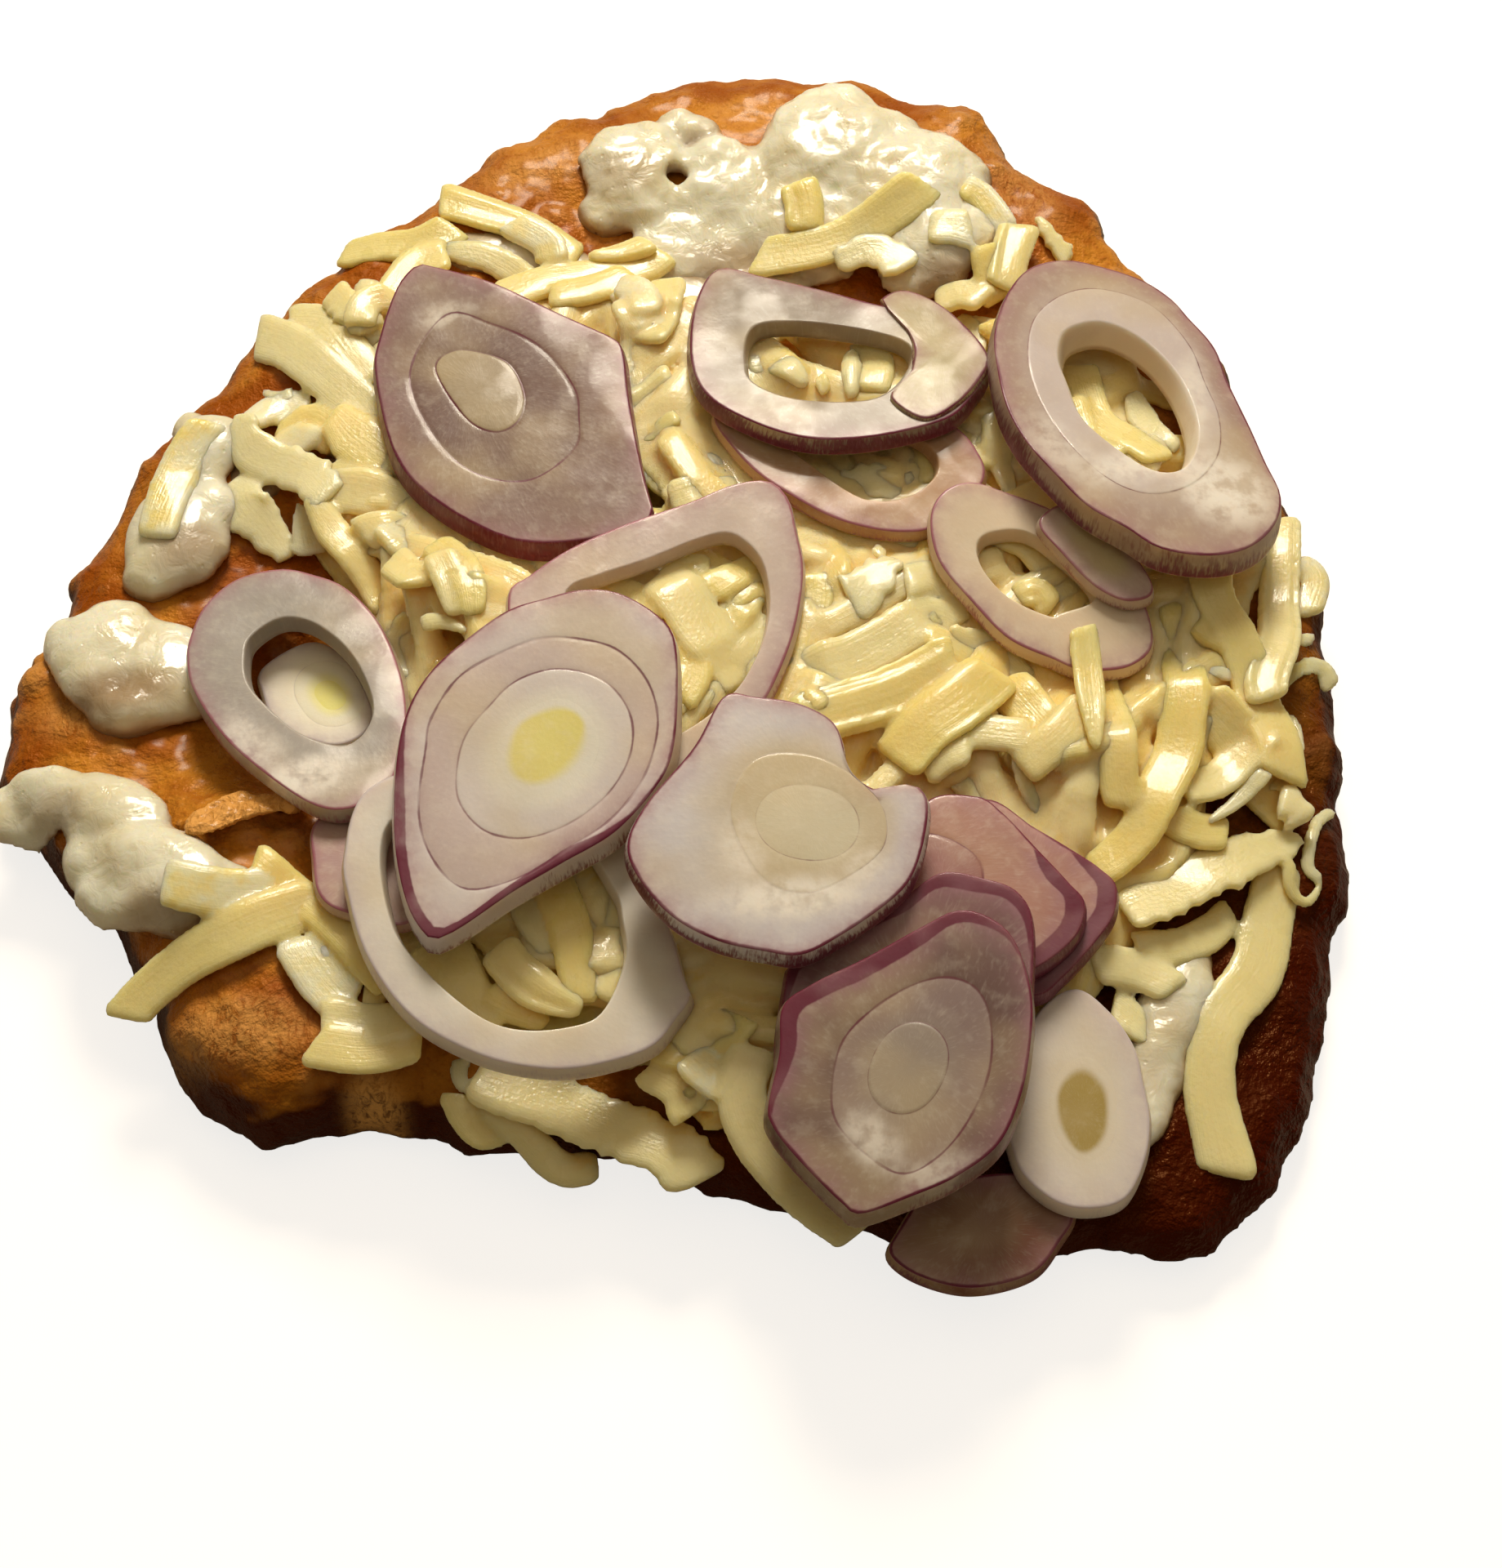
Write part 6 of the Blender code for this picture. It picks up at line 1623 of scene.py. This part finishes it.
# Where the loops lie across a layer, as shares of its width
ACROSS_LAYER = (0.03, 0.08, 0.18, 0.34, 0.5, 0.66, 0.82, 0.92, 0.97)

# In mm: depth of the groove at a border, rise of a layer's middle, radius of the rim, reach of the tint from
# the rim, bend of a slice, and a distance that stands for far from any border
GROOVE = 0.05
CROWN = 0.07
EDGE_ROUND = 0.32
BLUSH_REACH = 1.9
SAG = 0.35
FAR_OFF = 9.0

# How much wider the underside is than the top, for each mm of thickness
FLARE = 0.14


def smooth_loop(points, fineness=14):
    """Close points of a smooth closed curve through the given ones."""
    p = np.array(points, float)
    share = np.linspace(0, 1, fineness, endpoint=False)[:, None]
    around_each = zip(np.roll(p, 1, 0), p, np.roll(p, -1, 0), np.roll(p, -2, 0))
    return np.concatenate([between(*four, share) for four in around_each])


def traced_radii(points, angle):
    """The middle of a traced outline, and its radii about that."""
    points = np.array(points, float)
    middle = (points.min(axis=0) + points.max(axis=0)) / 2
    curve = smooth_loop(points) - middle
    turn = np.arctan2(curve[:, 1], curve[:, 0]) % (2 * math.pi)
    order = np.argsort(turn)
    return middle, np.interp(angle, turn[order], np.hypot(*curve.T)[order], period=2 * math.pi)


def outline(shape, grow=0.0):
    """Points around a slice or one of its layers."""
    angle = np.arange(SLICE_POINTS) * 2 * math.pi / SLICE_POINTS
    if isinstance(shape[0], tuple):
        middle, radius = traced_radii(shape, angle)
    else:
        x, y, size, share, degrees = shape
        middle = np.array([x, y])
        radius = size * (1 + share * np.cos(2 * (angle - math.radians(degrees))))
    return middle + CENTRING + (radius + grow)[:, None] * np.stack([np.cos(angle), np.sin(angle)], axis=1)


def underside_plane(node):
    """The flat underside of a slice's solid: its height at x = y = 0 and its slopes."""
    mesh = frame["nodes"][node].data
    points = points_of(mesh)
    used = sorted({v for face in mesh.polygons if face.normal.z < -0.7 for v in face.vertices})
    flat = points[used]
    return np.linalg.lstsq(np.column_stack([np.ones(len(flat)), flat[:, :2]]), flat[:, 2], rcond=None)[0]


def skin_band(row):
    """How far the skin shows over the cut face, around a slice that leans away from one side."""
    degrees, width = row.get("band", (0, 0.0))
    angle = np.arange(SLICE_POINTS) * 2 * math.pi / SLICE_POINTS
    return width * np.clip(np.cos(angle - math.radians(degrees)) * 1.6 - 0.2, 0, 1)


class SliceLoft:
    """Loops of points from a slice's underside round to its top, with what the material reads at each."""

    def __init__(self, seed):
        self.loops, self.heights = [], []
        self.flesh, self.line_mm, self.rim_mm, self.skin, self.rounds = [], [], [], [], []
        self.rng = np.random.default_rng(seed)

    def add(self, loop, height, flesh, line_mm=FAR_OFF, rim_mm=FAR_OFF, skin=0.0, far=0.0):
        """One loop, with its height, colour, distances from a border and from the rim, and skin."""
        self.loops.append(loop)
        self.heights.append(np.broadcast_to(height, SLICE_POINTS).astype(float))
        self.flesh.append(flesh)
        self.line_mm.append(np.broadcast_to(line_mm, SLICE_POINTS))
        self.rim_mm.append(np.broadcast_to(rim_mm, SLICE_POINTS))
        self.skin.append(skin)
        self.rounds.append(far)


def outer_wall(loft, row, rim, thick):
    """The skin side, bowed a little, from the wide underside up to the rounded rim."""
    flesh, cover = row["flesh"][0], row.get("skin", 0.25)
    straight = thick - EDGE_ROUND
    for share in (0.0, 0.1, 0.3, 0.5, 0.7, 0.88, 1.0):
        grow = FLARE * thick * (1 - share) + 0.2 * math.sin(math.pi * share)
        skin = min(1.0, max(0.0, 1.1 * cover + 0.5 * (0.5 - share)))
        loop, height = outline(row["edge"], grow), 0.05 + share * (straight - 0.05)
        loft.add(loop, height, flesh, skin=skin, far=0.5 + share)
    for degrees in (30, 60):
        turn = math.radians(degrees)
        loop = outline(row["edge"], EDGE_ROUND * (math.cos(turn) - 1))
        height = straight + EDGE_ROUND * math.sin(turn)
        loft.add(loop, height, flesh, rim_mm=0.0, skin=0.5 * cover, far=1.5 + degrees / 900)
    loft.add(rim, thick, flesh, rim_mm=0.15, far=1.6)


def cut_face(loft, row, borders, thick):
    """The top, from the rim inwards over each layer, crowned between the thin membranes."""
    lines = row.get("line", (1.0,))
    flesh = row["flesh"]
    for level, (outer, inner) in enumerate(zip(borders, borders[1:])):
        width = np.hypot(*(outer - inner).T)
        last = level == len(borders) - 2
        line_in, line_out = (lines[min(max(k, 0), len(lines) - 1)] for k in (level, level - 1))
        clear = min([line_in] * (not last) + [line_out] * (level > 0), default=1.0)
        step = clear * loft.rng.uniform(-0.1, 0.15) if level else 0.0
        here, after = (flesh[min(k, len(flesh) - 1)] for k in (level, level + 1))
        for share in ACROSS_LAYER + ((1.0,) if last else (0.999,)):
            near = share * width
            gaps = [(near, line_out)] * (level > 0) + [((1 - share) * width, line_in)] * (not last)
            shown, groove = np.full(SLICE_POINTS, FAR_OFF), np.zeros(SLICE_POINTS)
            for gap, line in gaps:
                shown = np.minimum(shown, gap + 0.02 + 0.3 * (1 - line))
                groove = np.maximum(groove, line * GROOVE * np.exp(-((gap / 0.3) ** 2)))
            arch = math.sin(0.5 * math.pi * share) if last else math.sin(math.pi * share)
            height = thick + step + clear * CROWN * max(0.0, arch) ** 0.6 - groove
            melt = 0.0 if last else (1 - line_in) * float(smooth_step((share - 0.4) / 0.6))
            shade = tuple(a + melt * (b - a) for a, b in zip(here, after))
            rim_mm = np.hypot(*(borders[0] - outer).T) + near + 0.15 - skin_band(row)
            loft.add(outer + share * (inner - outer), height, shade, shown, rim_mm, 0.0, 2.0 + level + share)


def ceiling_under_onions():
    """The heights of the undersides of the slices' solids, which the cheese stays under."""
    ceiling = Relief(OPEN_SKY)
    for node, row in SLICES.items():
        if "plane" not in row:
            ceiling.add_mesh(frame["nodes"][node].data, underside=True)
    ceiling.spread_lowest()
    return ceiling


def slice_mesh(node, row, seed):
    """A slice as one closed skin on the plane of its solid."""
    thick, hole = row["thick"], row.get("hole")
    loft = SliceLoft(seed)
    flesh = row["flesh"][0]
    rim = outline(row["edge"], -EDGE_ROUND)
    borders = [rim] + [outline(shape) for shape in row.get("layers", ())]
    base = outline(row["edge"], FLARE * thick)
    if hole:
        low_hole, high_hole = outline(hole, -0.5), outline(hole, 0.25 * row.get("funnel", 0.7))
        for share in (0.0, 0.5, 1.0):
            loft.add(low_hole + share * (base - low_hole), 0.0, flesh)
        outer_wall(loft, row, rim, thick)
        cut_face(loft, row, borders + [high_hole], thick)
        for share in (0.12, 0.3, 0.5, 0.72, 0.9):
            height = CROWN + thick - share**1.6 * (thick + CROWN - 0.3)
            loft.add(high_hole + share * (low_hole - high_hole), height, row["flesh"][-1])
    else:
        centre = np.mean(borders[-1], axis=0)
        for share in (0.05, 0.5, 1.0):
            loft.add(centre + share * (base - centre), 0.0, flesh)
        outer_wall(loft, row, rim, thick)
        cut_face(loft, row, borders + [centre + 0.02 * (borders[-1] - centre)], thick)
    loops, heights = np.array(loft.loops), np.array(loft.heights)
    z0, slope_x, slope_y = underside_plane(row.get("plane", node))
    middle = loops[0].mean(axis=0)
    reach = np.hypot(*(base - base.mean(axis=0)).T).max()
    u, v = (loops - middle)[..., 0] / reach, (loops - middle)[..., 1] / reach
    phase = loft.rng.uniform(0, 2 * math.pi)
    sag = SAG * (0.35 - (u * math.cos(phase) + v * math.sin(phase)) ** 2)
    wobble = 0.1 * np.sin(loops[..., 0] / 2.7 + phase) * np.cos(loops[..., 1] / 3.3)
    z = z0 + slope_x * loops[..., 0] + slope_y * loops[..., 1] + heights + sag + wobble + row.get("lift", 0.0)
    points = np.concatenate([loops, z[..., None]], axis=2).reshape(-1, 3)
    return points, loft, hole is not None


def loft_faces(rings, wrap):
    """Quads between neighbouring loops, and one face over each end unless the loft closes on itself."""
    n = SLICE_POINTS
    faces = []
    for level in range(rings if wrap else rings - 1):
        a, b = level * n, (level + 1) % rings * n
        faces += [(a + k, a + (k + 1) % n, b + (k + 1) % n, b + k) for k in range(n)]
    if not wrap:
        faces.append(tuple(range(n - 1, -1, -1)))
        last = (rings - 1) * n
        faces.append(tuple(range(last, last + n)))
    return faces


def set_round_map(mesh, loft):
    """How far round, in turns, and how far up each corner of a face is."""
    n = SLICE_POINTS
    layer = mesh.uv_layers.new(name="round")
    far = np.array(loft.rounds)
    values = np.empty((len(mesh.loops), 2), np.float32)
    at = 0
    for face in mesh.polygons:
        k = [v % n for v in face.vertices]
        wraps = len(k) == 4 and max(k) - min(k) > n // 2
        for v, turn in zip(face.vertices, k):
            values[at] = ((turn + (n if wraps and turn < n // 2 else 0)) / n, far[v // n])
            at += 1
    layer.data.foreach_set("uv", values.ravel())


def make_slice(node, row, material, seed):
    """One slice or ring, with the values that its material reads."""
    points, loft, wrap = slice_mesh(node, row, seed)
    rings = len(loft.loops)
    piece = new_mesh(f"{node}_cut", points, loft_faces(rings, wrap))
    mesh = piece.data
    set_attribute(mesh, "flesh", np.repeat(np.array(loft.flesh), SLICE_POINTS, axis=0))
    set_attribute(mesh, "line_mm", np.concatenate(loft.line_mm))
    from_rim = np.concatenate(loft.rim_mm)
    set_attribute(mesh, "rim_mm", from_rim)
    set_attribute(mesh, "blush", np.exp(-from_rim / BLUSH_REACH))
    set_attribute(mesh, "skin", np.repeat(loft.skin, SLICE_POINTS))
    # Painted sheen spots on the slices that have them
    set_attribute(mesh, "frost", spot_share(points, SHEEN_SPOTS if node in SHEENED_SLICES else ()))
    set_round_map(mesh, loft)
    return dress(piece, "onion", material, *([] if "plane" in row else [node]))


def make_onions(settings):
    """All the slices, in three finishes."""
    faint_skin = [0.35 * value + 0.45 for value in settings.onion_pink]
    faint_blush = [0.5 * (value + 0.75) for value in settings.onion_blush]
    looks = {
        PURPLE: onion_material(PURPLE, settings.onion_skin, settings.onion_blush, settings.onion_below),
        PINK: onion_material(PINK, settings.onion_pink, settings.onion_blush, settings.onion_below),
        PALE: onion_material(PALE, faint_skin, faint_blush, settings.onion_below),
    }
    for seed, (node, row) in enumerate(SLICES.items()):
        make_slice(node, row, looks[row["look"]], seed + 3)


# Stage

CAMERA_ELEVATION = 62.0
CAMERA_DISTANCE = 0.400
CAMERA_LENS = 62.0
AIM = Vector((0.01151, -0.0308, 0.010))
SENSOR_WIDTH = 36.0
FLOOR_SIDE = 6.0
FLOOR_DROP = 0.0002
FLOOR_COLOUR = (0.5, 0.45, 0.38, 1)
FLOOR_GLOW = (1.0, 0.99, 0.97, 1)
ROOM_COLOUR = (1.0, 0.81, 0.54, 1)

# Each light: where it is, its side in metres and its colour
WINDOW = ((0.03, 0.75, 0.75), 0.32, (1.0, 0.90, 0.74))
CEILING = ((0.06, 0.1, 1.0), 1.1, (1.0, 0.85, 0.61))


def floor_material():
    """Matt and pale, with a glow that only the camera sees."""
    material, tree, shader = new_material("pale floor")
    set_inputs(shader, Base_Color=FLOOR_COLOUR, Emission_Color=FLOOR_GLOW)
    set_inputs(shader, Roughness=0.9, Specular_IOR_Level=0.1)
    seen = tree.nodes.new("ShaderNodeLightPath").outputs["Is Camera Ray"]
    tree.links.new(times(tree, seen, 0.8), shader.inputs["Emission Strength"])
    return material


def aim(obj):
    obj.rotation_euler = (AIM - obj.location).to_track_quat("-Z", "Y").to_euler()


def soft_light(name, power, place, side, colour):
    deselect()
    bpy.ops.object.light_add(type="AREA", location=place)
    light = bpy.context.active_object
    light.name = name
    light.data.size = side
    light.data.energy = power
    light.data.color = colour
    aim(light)


def make_stage(settings):
    """The floor, the room's light, two lamps and the camera."""
    deselect()
    bpy.ops.mesh.primitive_plane_add(size=FLOOR_SIDE, location=(0, 0, -FLOOR_DROP))
    floor = bpy.context.active_object
    floor.name = "floor"
    floor.data.materials.append(floor_material())
    world = bpy.data.worlds.new("soft room")
    bpy.context.scene.world = world
    world.use_nodes = True
    background = world.node_tree.nodes["Background"]
    background.inputs["Color"].default_value = ROOM_COLOUR
    background.inputs["Strength"].default_value = settings.room_light
    soft_light("window", settings.window_power, *WINDOW)
    soft_light("ceiling", settings.ceiling_power, *CEILING)
    deselect()
    bpy.ops.object.camera_add()
    camera = bpy.context.active_object
    camera.name = "camera"
    tilt = math.radians(CAMERA_ELEVATION)
    camera.location = AIM + CAMERA_DISTANCE * Vector((0, -math.cos(tilt), math.sin(tilt)))
    aim(camera)
    camera.data.lens = CAMERA_LENS
    camera.data.sensor_width = SENSOR_WIDTH
    bpy.context.scene.camera = camera
    bpy.context.scene.view_settings.view_transform = "Standard"


# Settings, operators and panel


def tint(name, description, default):
    """A colour setting."""
    return FloatVectorProperty(
        name=name, description=description, subtype="COLOR", size=3, default=default, min=0.0, max=1.0
    )


class LangosSettings(bpy.types.PropertyGroup):
    """Sizes and colours of the looks."""

    crust_golden: tint("Golden crust", "Lightest fried dough", (0.58, 0.24, 0.026))
    crust_brown: tint("Brown crust", "Well fried dough", (0.31, 0.075, 0.003))
    # Dark crust: browned dough, also the colour of the painted shade on the walls, front and right
    crust_burnt_and_shaded: tint("Dark crust", "Walls and the darkest side", (0.050, 0.004, 0.0002))
    crust_torn: tint("Torn crust", "Torn fibres", (0.80, 0.42, 0.12))
    crust_pale: tint("Blister tops", "Pale tops of the bubbles", (0.66, 0.33, 0.09))
    cream_white: tint("Cream", "Sour cream", (0.90, 0.87, 0.70))
    cream_yellow: tint("Cream in hollows", "Sour cream mixed with oil", (0.74, 0.64, 0.38))
    # Brownish colour where crust shows through the cream, also used for its painted shade
    cream_thin_and_shade: tint("Thin cream", "Edges where the crust shows through", (0.30, 0.16, 0.055))
    cheese_deep: tint("Deep cheese", "Yellowest shreds", (0.99, 0.70, 0.23))
    # Deeper, darker yellow for the painted shade in crevices
    cheese_crevice_shade: tint("Cheese in crevices", "Deepest yellow", (0.98, 0.60, 0.13))
    cheese_pale: tint("Pale cheese", "Palest shreds", (0.99, 0.82, 0.52))
    onion_skin: tint("Onion skin", "Purple skin", (0.15, 0.016, 0.045))
    onion_blush: tint("Onion blush", "Purple tint of the flesh near the skin", (0.37, 0.19, 0.235))
    onion_below: tint("Cheese through onion", "Tint where cheese shows through", (0.62, 0.50, 0.30))
    onion_pink: tint("Onion membrane", "Pink skin of inner rings", (0.33, 0.12, 0.16))
    blister_count: IntProperty(name="Blisters", description="Bubbles on the crust", default=420, min=0)
    buried_shreds: IntProperty(name="Buried shreds", description="Under the laid ones", default=380, min=1)
    window_power: FloatProperty(name="Window", description="Power from the back", default=10.6, unit="POWER")
    ceiling_power: FloatProperty(name="Ceiling", description="Power from above", default=2.0, unit="POWER")
    room_light: FloatProperty(name="Room", description="Strength of the light all round", default=0.13)


class LANGOS_OT_stage(bpy.types.Operator):
    """Make the floor, the lights and the camera"""

    bl_idname = "langos.stage"
    bl_label = "Stage"

    def execute(self, context):
        make_stage(context.scene.langos)
        return {"FINISHED"}


class LANGOS_OT_crust(bpy.types.Operator):
    """Make the fried crust over the bread"""

    bl_idname = "langos.crust"
    bl_label = "Crust"

    def execute(self, context):
        make_crust(context.scene.langos)
        return {"FINISHED"}


class LANGOS_OT_cream(bpy.types.Operator):
    """Make the sour cream on the crust"""

    bl_idname = "langos.cream"
    bl_label = "Cream"

    def execute(self, context):
        make_cream(context.scene.langos, ground_under_cream())
        return {"FINISHED"}


class LANGOS_OT_cheese(bpy.types.Operator):
    """Make the heap of grated cheese on the crust and cream, under the onions"""

    bl_idname = "langos.cheese"
    bl_label = "Cheese"

    def execute(self, context):
        ground = ground_under_cream()
        for obj in bpy.data.objects:
            if obj.name.startswith(CREAM_PREFIX):
                ground.add_mesh(obj.data)
        make_cheese(context.scene.langos, ground, ceiling_under_onions())
        return {"FINISHED"}


class LANGOS_OT_onions(bpy.types.Operator):
    """Make the onion slices and rings"""

    bl_idname = "langos.onions"
    bl_label = "Onions"

    def execute(self, context):
        make_onions(context.scene.langos)
        return {"FINISHED"}


class LANGOS_PT_panel(bpy.types.Panel):
    """Sidebar panel with a button for each piece and the settings"""

    bl_label = "Langos"
    bl_idname = "LANGOS_PT_panel"
    bl_space_type = "VIEW_3D"
    bl_region_type = "UI"
    bl_category = "Langos"

    def draw(self, context):
        for operator in OPERATORS:
            self.layout.operator(operator.bl_idname)
        for name in LangosSettings.__annotations__:
            self.layout.prop(context.scene.langos, name)


OPERATORS = (LANGOS_OT_stage, LANGOS_OT_crust, LANGOS_OT_cream, LANGOS_OT_cheese, LANGOS_OT_onions)
CLASSES = (LangosSettings, *OPERATORS, LANGOS_PT_panel)


def register():
    for item in CLASSES:
        bpy.utils.register_class(item)
    bpy.types.Scene.langos = PointerProperty(type=LangosSettings)


def unregister():
    del bpy.types.Scene.langos
    for item in reversed(CLASSES):
        bpy.utils.unregister_class(item)


def main():
    register()
    bpy.ops.langos.stage()
    bpy.ops.langos.crust()
    bpy.ops.langos.cream()
    bpy.ops.langos.cheese()
    bpy.ops.langos.onions()


if __name__ == "__main__":
    main()
